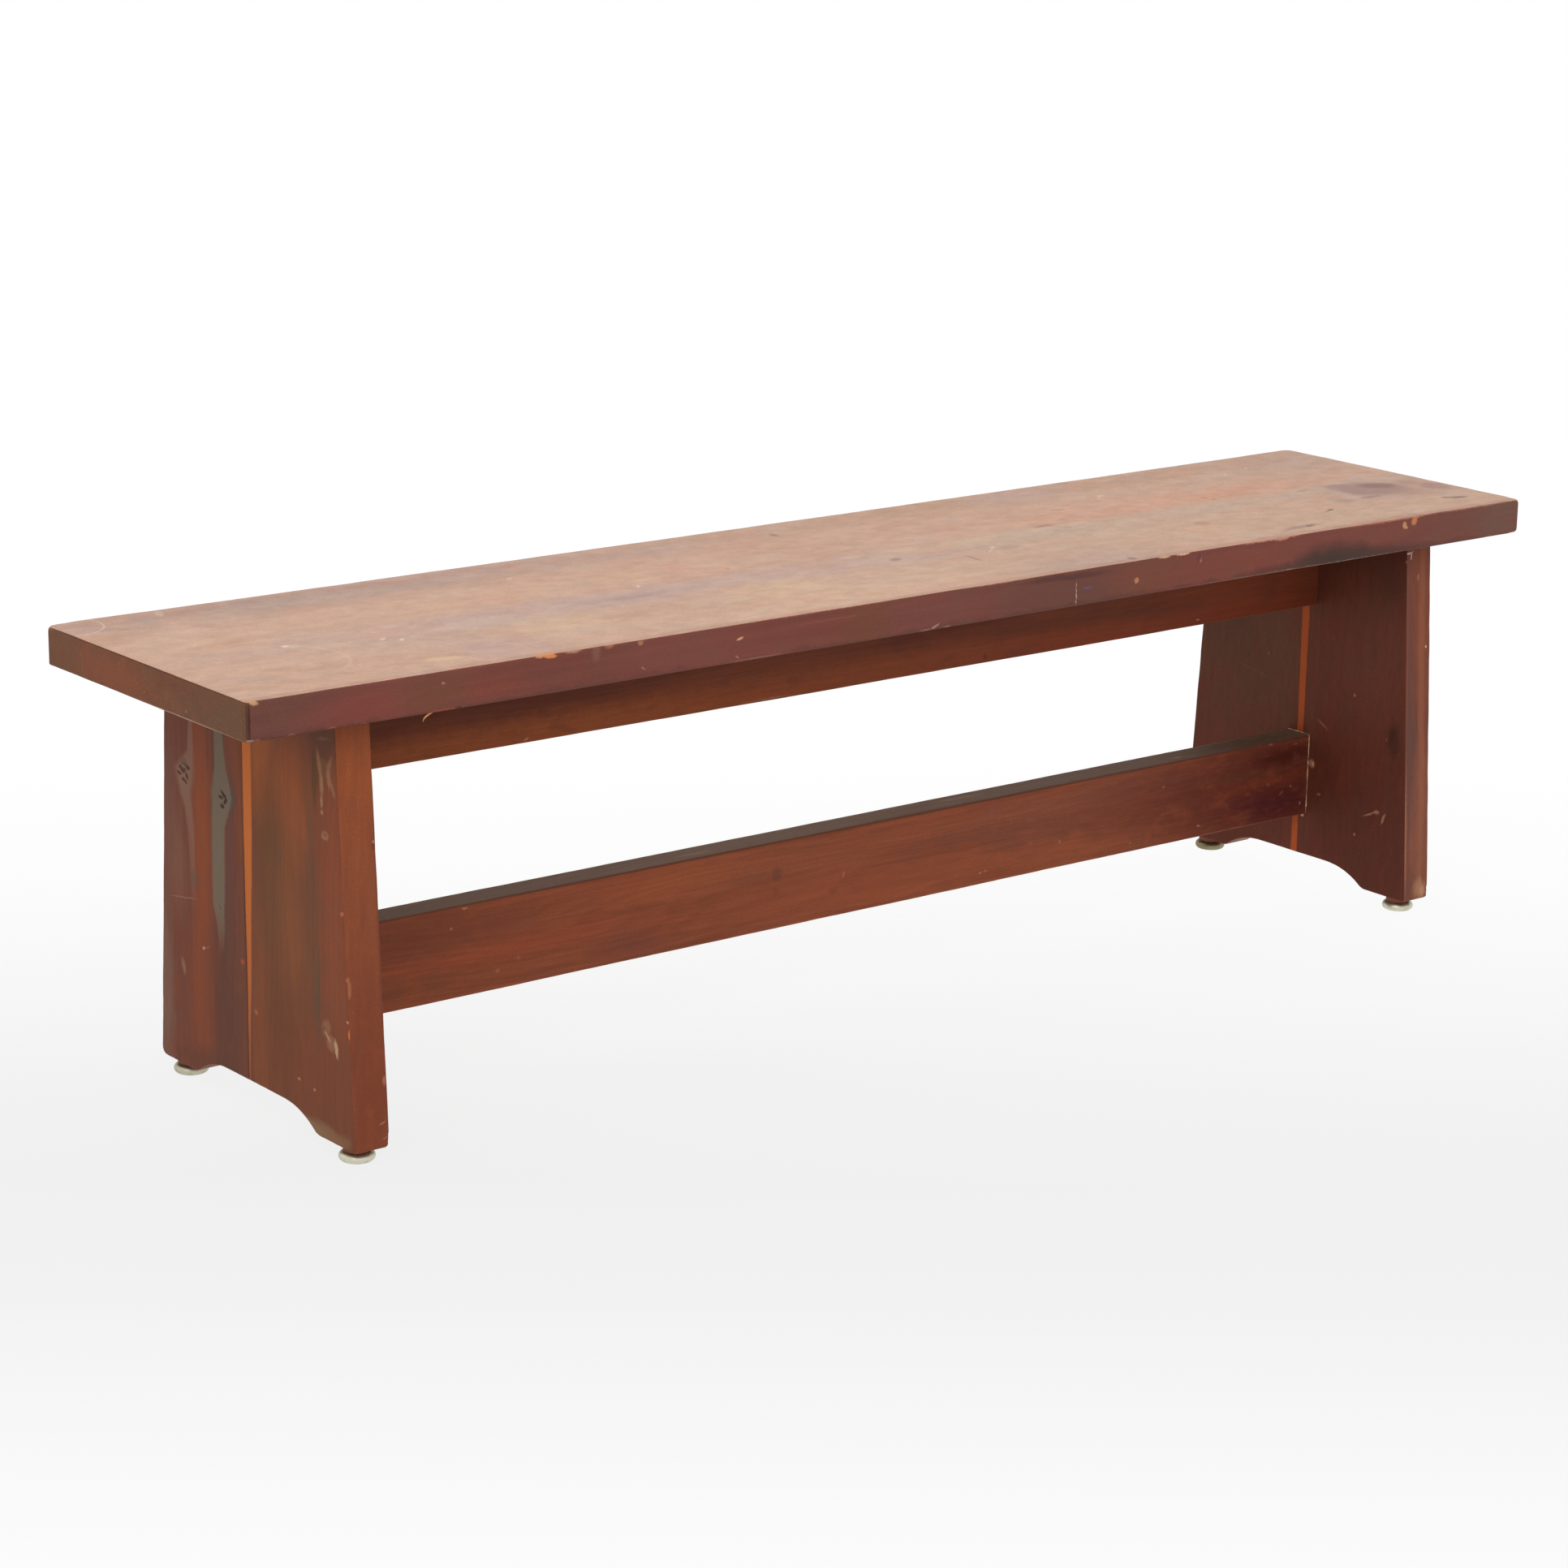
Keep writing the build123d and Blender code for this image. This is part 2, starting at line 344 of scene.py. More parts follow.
@dataclass(frozen=True)
class Streak:
    """A stain that runs the length of a face, whose middle, width and strength change on the way."""

    path: tuple[tuple[float, float, float, float], ...]  # place on the way, middle, width, strength
    colour: Tone
    runs_down: bool = True
    soft: float = 0.4
    rim: Rim = STREAKED
    dent: float = 0.0

    SPAN = 2000.0  # what a ramp's 1 stands for, in millimetres

    def mask(self, recipe: Recipe, sheets: dict[Rim, Signal]) -> Signal:
        """How much of the stain there is at each point, from 0 to 1."""
        along, down, _ = recipe.parts(sheets[self.rim])
        way, across = (down, along) if self.runs_down else (along, down)
        first, last = self.path[0][0], self.path[-1][0]
        stops = [((place - first) / (last - first), (middle / self.SPAN, width / self.SPAN, strength, 1.0))
                 for place, middle, width, strength in self.path]
        ramp = recipe.node("ShaderNodeValToRGB", {"stops": stops}, {0: (way - first) / (last - first)})
        split = recipe.node("ShaderNodeSeparateColor", None, {0: ramp})
        middle, width, strength = (Signal(recipe, output) for output in split.socket.node.outputs)
        gap = abs(across - middle * self.SPAN) / (width * (self.SPAN / 2))
        return recipe.fade(gap, 1.0 + self.soft / 2, 1.0 - self.soft / 2) * strength


@dataclass(frozen=True)
class Ring:
    """A pale ring left by a wet glass: a thin circle, strongest on one side."""

    along: float
    down: float
    radius: float
    width: float
    colour: Tone
    strength: float = 0.4
    strong_side: float = 0.0  # degrees from the face's along direction, towards down
    dent: float = 0.0

    def mask(self, recipe: Recipe, sheets: dict[Rim, Signal]) -> Signal:
        """How much of the ring there is at each point, from 0 to 1."""
        spot = recipe.spot(sheets[CLEAN], (self.along, self.down), (self.radius, self.radius))
        line = recipe.fade(abs(recipe.reach(spot) - 1.0), self.width / self.radius, 0.0)
        angle = math.radians(self.strong_side)
        facing = recipe.vector("DOT_PRODUCT", spot, (math.cos(angle), math.sin(angle), 0.0), output="Value")
        return line * recipe.fade(facing, -0.5, 0.9, 0.12 * self.strength, self.strength)


def knot(along: float, down: float, strokes: Sequence[tuple[float, float, float, float, float]],
         colour: Tone, strength: float = 0.85) -> tuple[Mark, ...]:
    """A small knot's dark curls: for each stroke its place from the knot's, its length, width and turn."""
    return tuple(Mark(along + x, down + y, length, width, colour, strength, turn, 0.7)
                 for x, y, length, width, turn in strokes)


Trace = Mark | Streak | Ring
Row = tuple[float | Tone | Rim, ...]  # a mark's values in their order, without the last ones that are usual


def marks(*rows: Row | Trace, **shared: float | Rim) -> tuple[Trace, ...]:
    """Traces of use or painted shade, each over those before it. A row of values stands for a mark with those
    values.
    """
    return tuple(Mark(*row, **shared) if isinstance(row, tuple) else row for row in rows)


def patches(*rows: Row | Trace) -> tuple[Trace, ...]:
    """Large regions of another tone without a hard rim, as rows of place, size, colour, strength and turn."""
    return marks(*rows, soft=1.5, rim=CLOUDED)


@dataclass(frozen=True)
class Sheet:
    """One face laid out flat: how far along and how far down it a point is, from the face's own corner."""

    along_axis: int
    along_start: float
    along_sign: int
    down_axis: int
    down_start: float
    down_sign: int

    def laid_out(self, where: Where) -> tuple[Signal, Signal]:
        """The face's two coordinates, in millimetres."""
        along = (where[self.along_axis] - self.along_start) * self.along_sign
        down = (where[self.down_axis] - self.down_start) * self.down_sign
        return along, down


@dataclass(frozen=True)
class Timber:
    """How one board was cut: where its growth rings lie, and how its grain shows."""

    grain_axis: int
    pith: tuple[float, float]  # across the grain, on the two other axes in their order
    ring_gap: float = 6.5
    wander: float = 1.2
    seed: float = 0.0
    ring_contrast: float = 0.07
    fibre_contrast: float = 0.09
    band_width: float = 16.0

    def sizes(self, along: float, across: float) -> Point:
        """Lump sizes for a noise that is drawn out along the grain."""
        return tuple(along if axis == self.grain_axis else across for axis in range(3))

    def rings(self, recipe: Recipe, place: Signal, where: Where) -> Signal:
        """Growth rings: 0 in the pale early wood, rising to 1 at the dark line that ends each year.

        Args:
            recipe: the material.
            place: the point, in millimetres.
            where: its three coordinates.

        Returns:
            The ring pattern.
        """
        first, second = (where[axis] for axis in range(3) if axis != self.grain_axis)
        drift = recipe.noise(place, self.sizes(520.0, 60.0), 2.0, 0.45, shift=self.seed)
        flat = recipe.joined(first - self.pith[0], second - self.pith[1])
        years = recipe.reach(flat) / self.ring_gap + drift * (self.wander * 10)
        year = recipe.node("ShaderNodeMath", {"operation": "FRACT"}, {0: years})
        return recipe.fade(year, 0.0, 0.85) * recipe.fade(year, 1.0, 0.88)

    def fibres(self, recipe: Recipe, place: Signal) -> Signal:
        """Fine streaks along the grain, from 0 to 1."""
        return recipe.noise(place, self.sizes(42.0, 0.9), 4.0, 0.65, shift=self.seed + 3.1)

    def bands(self, recipe: Recipe, place: Signal) -> Signal:
        """Broad streaks along the grain, from 0 to 1."""
        return recipe.noise(place, self.sizes(self.band_width * 22, self.band_width), 4.0, 0.55, 0.25,
                            shift=self.seed + 7.7)


@dataclass(frozen=True)
class Wear:
    """Rubbing along a face's free edges, which takes the stain off in patches."""

    distance: Callable[[Recipe, Where], Signal]  # how far a point lies in from those edges
    rubbed: Tone = 0x9C5C42
    bare: Tone = 0xCE8C5C
    reach: float = 2.2
    strength: float = 0.45
    patches: float = 70.0

    def laid_over(self, recipe: Recipe, colour: Signal, place: Signal, where: Where) -> Signal:
        """The colour with its edges worn.

        Args:
            recipe: the material.
            colour: the colour before the wear.
            place: the point, in millimetres.
            where: its three coordinates.

        Returns:
            The worn colour.
        """
        patchy = recipe.noise(place, (self.patches,) * 3, 2.0, 0.5, shift=23.0)
        patchy = recipe.fade(patchy, 0.42, 0.62) * self.strength
        broken = recipe.noise(place, (5.0, 5.0, 5.0), 4.0, 0.7, shift=2.0)
        edge = self.distance(recipe, where) + (broken - 0.5) * (self.reach * 2.4)
        colour = recipe.mix(recipe.fade(edge, self.reach, 0.0) * patchy, colour, self.rubbed)
        return recipe.mix(recipe.fade(edge, 0.1, -0.9) * patchy, colour, self.bare)


@dataclass(frozen=True)
class StainedWood:
    """Old stained and varnished wood on one face of a board.

    All colours are as they look on the bench in its own light, and balance turns them into the wood's
    base colour. The stain lies light or dark with the broad streaks, fields give each region of the
    face its own tone, some of them painted shade or light, and traces come over them: marks of use,
    and on some faces painted shade.
    """

    name: str
    timber: Timber
    sheet: Sheet
    light: Tone
    dark: Tone
    warm: Tone
    cool: Tone
    balance: Point = (1.0, 1.0, 1.0)
    fields: tuple[Trace, ...] = ()
    traces: tuple[Trace, ...] = ()
    wear: Wear | None = None
    cloud_size: float = 70.0
    cloud_depth: float = 0.07
    mottle_size: tuple[float, float] = (34.0, 15.0)  # along and across the grain
    speckle: float = 0.2
    tint: float = 0.35
    dust: Tone = 0xCDB4A5
    dust_strength: float = 0.25
    roughness: float = 0.5
    specular: float = 0.06
    relief: float = 0.3

    def sheets(self, recipe: Recipe, place: Signal, where: Where) -> dict[Rim, Signal]:
        """The face's coordinates, pulled along the grain and bent across it as each kind of rim asks."""
        timber = self.timber
        along, down = self.sheet.laid_out(where)
        pull = recipe.noise(place, timber.sizes(60.0, 4.0), 3.0, 0.6, shift=11.0) - 0.5
        bend = recipe.noise(place, (24.0, 24.0, 24.0), 4.0, 0.6, shift=17.0) - 0.5
        frays = [recipe.noise(place, (4.0, 4.0, 4.0), 2.0, 0.6, shift=shift) - 0.5
                 for shift in (51.0, 57.0)]
        grain_is_along = self.sheet.along_axis == timber.grain_axis
        moved = {}
        for rim in Rim:
            with_grain, across_grain = pull * rim.value[0], bend * rim.value[1]
            shifts = (with_grain, across_grain) if grain_is_along else (across_grain, with_grain)
            moved[rim] = recipe.joined(along + shifts[0] + frays[0] * rim.value[2],
                                       down + shifts[1] + frays[1] * rim.value[2])
        return moved

    def material(self) -> bpy.types.Material:
        """Builds the material.

        Returns:
            The finished material.
        """
        recipe = Recipe(self.name)
        place = recipe.here
        where = recipe.parts(place)
        timber = self.timber
        sheets = self.sheets(recipe, place, where)
        colour = recipe.mix(recipe.fade(timber.bands(recipe, place), 0.3, 0.7), self.light, self.dark)
        for trace in self.fields:
            colour = recipe.mix(trace.mask(recipe, sheets), colour, trace.colour)
        cloud = recipe.noise(place, timber.sizes(self.cloud_size * 2.2, self.cloud_size), 4.0, 0.55, 0.3,
                             shift=timber.seed + 5.0)
        mottle = recipe.noise(place, timber.sizes(*self.mottle_size), 5.0, 0.68, 0.2, shift=timber.seed + 9.0)
        colour = recipe.mix(recipe.fade(cloud, 0.5, 0.72, 0.0, self.tint), colour, self.warm)
        colour = recipe.mix(recipe.fade(cloud, 0.48, 0.28, 0.0, self.tint), colour, self.cool)
        rings = timber.rings(recipe, place, where)
        fibres = timber.fibres(recipe, place)
        shade = recipe.spread(fibres, 1.0 - timber.fibre_contrast, 1.0 + timber.fibre_contrast)
        shade = shade * (1.0 - rings * timber.ring_contrast)
        shade = shade * recipe.spread(mottle, 1.0 - self.cloud_depth, 1.0 + self.cloud_depth)
        grit = recipe.noise(place, (1.8, 1.8, 1.8), 2.0, 0.7, shift=31.0)
        shade = shade * recipe.spread(grit, 1.0 + self.speckle, 1.0 - self.speckle)
        colour = recipe.shaded(colour, shade)
        colour = recipe.mix(recipe.fade(grit, 0.72, 0.8, 0.0, self.dust_strength), colour, self.dust)
        height = fibres * -0.05 + rings * 0.03
        rough = recipe.spread(cloud, self.roughness - 0.06, self.roughness + 0.08)
        for trace in self.traces:
            mask = trace.mask(recipe, sheets)
            colour = recipe.mix(mask, colour, trace.colour)
            if trace.dent:
                height = height - mask * trace.dent
        if self.wear is not None:
            colour = self.wear.laid_over(recipe, colour, place, where)
        return recipe.finish(recipe.tinted(colour, self.balance), rough, height, self.relief,
                             specular=self.specular)


# Other finishes


@dataclass(frozen=True)
class NickelPlate:
    """Nickel plate that has dulled a little, with fine scuffs round its rim, and painted shade that darkens
    and browns the back glides, most on the right.
    """

    name: str = "glide_nickel_plate"
    bright: Tone = 0xD4D1BE
    tarnish: Tone = 0xC0BCA4
    # painted shade for the back glides
    painted_shade: Tone = 0x7A6E4A

    def material(self) -> bpy.types.Material:
        """Builds the material."""
        recipe = Recipe(self.name)
        place = recipe.here
        stain = recipe.noise(place, (12.0, 12.0, 7.0), 2.0, 0.5, shift=3.0)
        scuffs = recipe.noise(place, (9.0, 9.0, 1.2), 2.0, 0.5, shift=8.0)
        colour = recipe.mix(recipe.fade(stain, 0.4, 0.7), self.bright, self.tarnish)
        pits = recipe.fade(recipe.noise(place, (1.4, 1.4, 1.4), 1.0, 0.4, shift=5.0), 0.7, 0.8)
        colour = recipe.mix(pits * 0.1, colour, 0x7E7054)
        across, back, _ = recipe.parts(place)
        # painted shade: darker and browner on the back glides, most on the right
        painted_shade = recipe.fade(back, 100.0, 150.0) * recipe.fade(across, -900.0, 600.0, 0.3, 0.9)
        colour = recipe.mix(painted_shade, colour, self.painted_shade)
        return recipe.finish(colour, recipe.spread(scuffs, 0.42, 0.5), scuffs * 0.002, 0.1, metal=1.0)


@dataclass(frozen=True)
class CushionRubber:
    """Old dark rubber with dust in its pores."""

    name: str = "glide_cushion_rubber"
    dark: Tone = 0x70422E
    dusty: Tone = 0x84583E

    def material(self) -> bpy.types.Material:
        """Builds the material."""
        recipe = Recipe(self.name)
        place = recipe.here
        dust = recipe.noise(place, (7.0, 7.0, 3.0), 4.0, 0.6, shift=4.0)
        pores = recipe.noise(place, (0.8, 0.8, 0.8), 2.0, 0.6, shift=6.0)
        colour = recipe.mix(recipe.fade(dust, 0.5, 0.8, 0.0, 0.6), self.dark, self.dusty)
        return recipe.finish(colour, recipe.spread(dust, 0.6, 0.85), pores * 0.1, 0.4, specular=0.3)


@dataclass(frozen=True)
class DrawnSteel:
    """Plain steel wire: fine lines along it, with brown spots."""

    name: str = "nail_and_screw_steel"
    bright: Tone = 0xB0B0B4
    rust: Tone = 0x704A32

    def material(self) -> bpy.types.Material:
        """Builds the material."""
        recipe = Recipe(self.name)
        place = recipe.here
        lines = recipe.noise(place, (0.5, 0.5, 9.0), 3.0, 0.6)
        spots = recipe.noise(place, (3.0, 3.0, 3.0), 4.0, 0.6, shift=9.0)
        rusty = recipe.fade(spots, 0.56, 0.68)
        colour = recipe.mix(rusty * 0.7, self.bright, self.rust)
        return recipe.finish(colour, recipe.spread(lines, 0.25, 0.5), lines * 0.04 + rusty * 0.05, 0.4,
                             metal=1.0)


@dataclass(frozen=True)
class BareBeech:
    """Bare pale hardwood, with fine flecks along the grain."""

    name: str = "dowel_bare_hardwood"
    light: Tone = 0xCEAC7E
    dark: Tone = 0xB0885C

    def material(self) -> bpy.types.Material:
        """Builds the material."""
        recipe = Recipe(self.name)
        place = recipe.here
        streaks = recipe.noise(place, (2.0, 2.0, 2.0), 4.0, 0.6, 0.4)
        flecks = recipe.noise(place, (0.7, 0.7, 0.7), 2.0, 0.6, shift=5.0)
        colour = recipe.mix(recipe.fade(streaks, 0.3, 0.7), self.light, self.dark)
        colour = recipe.shaded(colour, recipe.spread(flecks, 0.88, 1.08))
        return recipe.finish(colour, recipe.spread(flecks, 0.6, 0.75), streaks * 0.08, 0.4, specular=0.3)


@dataclass(frozen=True)
class DriedGlue:
    """Hide glue that has squeezed out and dried: cream, a little glassy, dusty in its hollows."""

    name: str = "dried_glue"
    cream: Tone = 0xC8A682
    brown: Tone = 0x8C5E42

    def material(self) -> bpy.types.Material:
        """Builds the material."""
        recipe = Recipe(self.name)
        place = recipe.here
        dirt = recipe.noise(place, (5.0, 5.0, 7.0), 4.0, 0.65)
        colour = recipe.mix(recipe.fade(dirt, 0.42, 0.64), self.cream, self.brown)
        return recipe.finish(colour, recipe.spread(dirt, 0.35, 0.6), dirt * 0.2, 0.4)


@dataclass(frozen=True)
class SplitFibre:
    """Raw wood of a splinter, with its fibres along it."""

    name: str = "raw_splinter"
    light: Tone = 0xDEA06C
    dark: Tone = 0xA05430

    def material(self) -> bpy.types.Material:
        """Builds the material."""
        recipe = Recipe(self.name)
        place = recipe.here
        fibres = recipe.noise(place, (4.0, 0.3, 0.5), 3.0, 0.6)
        colour = recipe.mix(recipe.fade(fibres, 0.35, 0.65), self.light, self.dark)
        return recipe.finish(colour, recipe.spread(fibres, 0.6, 0.8), fibres * 0.1, 0.5, specular=0.3)


# Meshes


def ripple(points: np.ndarray, length: float, seed: int) -> np.ndarray:
    """A smooth random field over points, mostly between -1 and 1.

    Args:
        points: one point a row, in millimetres.
        length: the distance over which it swings.
        seed: the field's own number.

    Returns:
        One value a point.
    """
    draw = np.random.default_rng(seed)
    total = np.zeros(len(points))
    waves = 7
    for _ in range(waves):
        direction = draw.normal(size=3)
        direction /= np.linalg.norm(direction)
        pace = 2 * math.pi / length * draw.uniform(0.5, 1.7)
        total += np.sin(points @ direction * pace + draw.uniform(0, 2 * math.pi))
    return total * 2 / waves


def make_mesh(name: str, points: np.ndarray, polygons: np.ndarray | list, faces: Iterable[int] | None = None,
              materials: Sequence[bpy.types.Material] = (), smooth: bool = True) -> bpy.types.Object:
    """Makes an object from points in millimetres.

    Args:
        name: the piece's name.
        points: one point a row.
        polygons: the polygons, as rows of point numbers.
        faces: a material number for each polygon.
        materials: the object's materials.
        smooth: whether its shading is smooth.

    Returns:
        The new object, linked to the scene.
    """
    mesh = bpy.data.meshes.new(name)
    polygons = polygons.tolist() if isinstance(polygons, np.ndarray) else polygons
    mesh.from_pydata((np.asarray(points) * MM).tolist(), [], polygons)
    for material in materials:
        mesh.materials.append(material)
    if faces is not None:
        mesh.polygons.foreach_set("material_index", np.asarray(faces, dtype=np.int32))
    mesh.polygons.foreach_set("use_smooth", [smooth] * len(mesh.polygons))
    mesh.validate()
    made = bpy.data.objects.new(name, mesh)
    bpy.context.scene.collection.objects.link(made)
    return made


def ring_quads(rows: int, around: int) -> list[tuple[int, int, int, int]]:
    """The quads of a surface made of closed rings, each with as many points as around says."""
    return [(row * around + k, row * around + (k + 1) % around,
             (row + 1) * around + (k + 1) % around, (row + 1) * around + k)
            for row in range(rows - 1) for k in range(around)]


def tube(name: str, path: np.ndarray, radii: np.ndarray, material: bpy.types.Material,
         around: int = 8) -> bpy.types.Object:
    """Makes a closed tube along a path.

    Args:
        name: the piece's name.
        path: the points of its middle line, in millimetres.
        radii: the tube's radius at each point.
        material: its finish.
        around: how many points each ring has.

    Returns:
        The new object.
    """
    ahead = np.gradient(path, axis=0)
    ahead /= np.linalg.norm(ahead, axis=1)[:, None]
    side = np.cross(ahead, (0.31, 0.77, 0.56))
    side /= np.linalg.norm(side, axis=1)[:, None]
    up = np.cross(ahead, side)
    turn = np.linspace(0, 2 * math.pi, around, endpoint=False)
    rings = path[:, None] + radii[:, None, None] * (np.cos(turn)[None, :, None] * side[:, None]
                                                    + np.sin(turn)[None, :, None] * up[:, None])
    last = (len(path) - 1) * around
    caps = [tuple(range(around))[::-1], tuple(range(last, last + around))]
    return make_mesh(name, rings.reshape(-1, 3), ring_quads(len(path), around) + caps, None, [material])


@dataclass(frozen=True)
class Chip:
    """A knock on an arris: the wood is worn or broken away round one point."""

    place: Point
    reach: float
    depth: float

    def bite(self, points: np.ndarray) -> np.ndarray:
        """How much the knock widens the arris at each point, in millimetres."""
        distance = np.linalg.norm(points - np.array(self.place), axis=1) / self.reach
        shape = np.clip(1 - distance**2, 0, None)
        return self.depth * shape * (1 + 0.35 * ripple(points, 4.0, 5))


@dataclass
class Plank:
    """A board, built as a fine grid over its box, eased at its arrises and then worn."""

    name: str
    nodes: tuple[str, ...]
    slot: str
    thick_axis: int
    arris: tuple[float, float]  # at the low and the high side across the thickness
    glued: tuple[tuple[int, int], ...] = ()  # axis and end of the sides that join another board
    corners: dict[tuple[int, int], float] | None = None
    chips: tuple[Chip, ...] = ()
    cell: Point = (6.0, 6.0, 6.0)
    waver: float = 0.25
    seam_groove: float = 0.0
    seed: int = 1
    shape: Callable[[np.ndarray], np.ndarray] | None = None

    EDGE_STEPS = (0.0, 0.35, 0.8, 1.3, 1.9, 2.6, 3.5, 5.0, 7.5, 11.0)
    LEAST_STEP = 0.22
    CHIP_STEP = 1.1
    ARRIS_WAVES = ((0.22, 60.0), (0.12, 9.0))  # how far an arris swells, and over what length
    FACE_WAVE = 240.0
    GROOVE_REACH = 0.8

    def __post_init__(self) -> None:
        """Takes the board's box from its CAD nodes."""
        boxes = [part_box(node) for node in self.nodes]
        self.low = np.min([np.array(box[0]) for box in boxes], axis=0) / MM
        self.high = np.max([np.array(box[1]) for box in boxes], axis=0) / MM

    def stations(self, axis: int) -> np.ndarray:
        """The grid's places along one axis: even in the middle, close together at the ends and knocks."""
        low, high = self.low[axis], self.high[axis]
        count = max(2, round((high - low) / self.cell[axis]))
        places = [low, high]
        for end, sign in ((low, 1), (high, -1)):
            places += [end + sign * step for step in self.EDGE_STEPS]
        for chip in self.chips:
            steps = max(2, round(2 * chip.reach / self.CHIP_STEP))
            places += list(np.linspace(chip.place[axis] - chip.reach, chip.place[axis] + chip.reach, steps))
        fixed = sorted(place for place in places if low <= place <= high)
        even = [place for place in np.linspace(low, high, count + 1)
                if np.abs(np.array(fixed) - place).min() > 0.4 * self.cell[axis]]
        kept = [low]
        for place in sorted(fixed + even):
            if place - kept[-1] > self.LEAST_STEP:
                kept.append(place)
        kept[-1] = high
        return np.array(kept)

    def shell(self) -> tuple[np.ndarray, np.ndarray, np.ndarray]:
        """The box's surface as a grid.

        Returns:
            The points, the quads, and for each quad which of the six faces it lies on.
        """
        places = [self.stations(axis) for axis in range(3)]
        counts = tuple(len(along) for along in places)
        quads, faces = [], []
        for axis in range(3):
            u, v = (axis + 1) % 3, (axis + 2) % 3
            i, j = np.meshgrid(np.arange(counts[u] - 1), np.arange(counts[v] - 1), indexing="ij")
            for end in (0, 1):
                corners = []
                for step_u, step_v in ((0, 0), (1, 0), (1, 1), (0, 1)):
                    index = [None, None, None]
                    index[axis] = np.full(i.size, end * (counts[axis] - 1))
                    index[u] = (i + step_u).ravel()
                    index[v] = (j + step_v).ravel()
                    corners.append(np.ravel_multi_index(index, counts))
                quad = np.stack(corners, axis=1)
                quads.append(quad if end else quad[:, ::-1])
                faces.append(np.full(len(quad), 2 * axis + end))
        used, quads = np.unique(np.concatenate(quads), return_inverse=True)
        index = np.unravel_index(used, counts)
        points = np.stack([places[axis][index[axis]] for axis in range(3)], axis=1)
        return points, quads.reshape(-1, 4), np.concatenate(faces)

    def nearest_end(self, points: np.ndarray, axis: int) -> tuple[np.ndarray, np.ndarray]:
        """How far each point is from the nearer end of an axis, and which end that is (0 low, 1 high)."""
        from_low, from_high = points[:, axis] - self.low[axis], self.high[axis] - points[:, axis]
        end = (from_high < from_low).astype(int)
        return np.minimum(from_low, from_high), end

    def eased(self, points: np.ndarray) -> np.ndarray:
        """Rounds the outline's corners and the arrises.

        Args:
            points: points on the box's surface.

        Returns:
            The same points on the eased surface, never outside the box.
        """
        across = [axis for axis in range(3) if axis != self.thick_axis]
        gaps, signs, ends = [], [], []
        for axis in across:
            gap, end = self.nearest_end(points, axis)
            for glued_axis, glued_end in self.glued:
                if glued_axis == axis:
                    place = points[:, axis]
                    gap = place - self.low[axis] if glued_end else self.high[axis] - place
                    end = np.full(len(points), 1 - glued_end)
            if all((axis, side) in self.glued for side in (0, 1)):
                gap = np.full(len(points), FAR)
            gaps.append(gap)
            ends.append(end)
            signs.append(2 * end - 1)
        radius = np.zeros(len(points))
        for (first_end, second_end), size in (self.corners or {}).items():
            radius[(ends[0] == first_end) & (ends[1] == second_end)] = size
        inside = (gaps[0] < radius) & (gaps[1] < radius)
        depths = [np.where(inside, radius - gap, 0.0) for gap in gaps]
        reach = np.where(inside, np.hypot(*depths), 1.0)
        squeeze = np.maximum(*depths) / reach
        eased = points.copy()
        normals = []
        for place, axis in enumerate(across):
            eased[:, axis] += np.where(inside, signs[place] * depths[place] * (squeeze - 1), 0.0)
            straight = gaps[0] <= gaps[1] if place == 0 else gaps[1] < gaps[0]
            normals.append(signs[place] * np.where(inside, depths[place] / reach, straight))
        inset = np.minimum(*gaps)
        depth, end = self.nearest_end(points, self.thick_axis)
        arris = np.array(self.arris)[end]
        for place, (share, length) in enumerate(self.ARRIS_WAVES):
            arris = arris * (1 + share * ripple(points, length, self.seed + place))
        for chip in self.chips:
            arris = arris + chip.bite(points)
        on_arris = (inset < arris) & (depth < arris)
        side, drop = np.where(on_arris, arris - inset, 1.0), np.where(on_arris, arris - depth, 0.0)
        squeeze = np.where(on_arris, np.maximum(side, drop) / np.hypot(side, drop), 1.0)
        inward = np.where(on_arris, side * (1 - squeeze), 0.0)
        for place, axis in enumerate(across):
            eased[:, axis] -= normals[place] * inward
        eased[:, self.thick_axis] -= (2 * end - 1) * drop * (1 - squeeze)
        return eased

    def worn(self, points: np.ndarray) -> np.ndarray:
        """Lets the faces waver a little, always inwards, and opens a hairline at glued sides.

        Args:
            points: points on the eased surface.

        Returns:
            The worn points.
        """
        worn = points.copy()
        for axis in range(3):
            middle, half = (self.high[axis] + self.low[axis]) / 2, (self.high[axis] - self.low[axis]) / 2
            share = (points[:, axis] - middle) / half
            for glued_axis, glued_end in self.glued:
                if glued_axis == axis:
                    share = np.where((share > 0) == bool(glued_end), 0.0, share)
            sway = 0.5 + 0.5 * np.clip(ripple(points, self.FACE_WAVE, self.seed + 10 + axis), -1, 1)
            worn[:, axis] -= share**3 * self.waver * sway
        for axis, end in self.glued:
            if self.seam_groove:
                gap = np.abs(points[:, axis] - (self.high if end else self.low)[axis])
                depth, side = self.nearest_end(points, self.thick_axis)
                fall = np.clip(1 - gap / self.GROOVE_REACH, 0, 1) * (depth < 0.1) * self.seam_groove
                worn[:, self.thick_axis] -= (2 * side - 1) * fall
        return worn

    def build(self, materials: Sequence[bpy.types.Material]) -> bpy.types.Object:
        """Makes the board.

        Args:
            materials: one for each face, in the order -X, +X, -Y, +Y, -Z, +Z.

        Returns:
            The board's object, which stands for its CAD nodes.
        """
        points, quads, faces = self.shell()
        points = self.worn(self.eased(points))
        if self.shape is not None:
            points = self.shape(points)
        kinds = list(dict.fromkeys(materials))
        numbers = np.array([kinds.index(material) for material in materials])
        made = make_mesh(self.name, points, quads, numbers[faces], kinds)
        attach(made, BODY)
        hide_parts(*self.nodes)
        log.info("%s: %d quads, slot %s", self.name, len(quads), self.slot)
        return made


# The bench's sub-assemblies


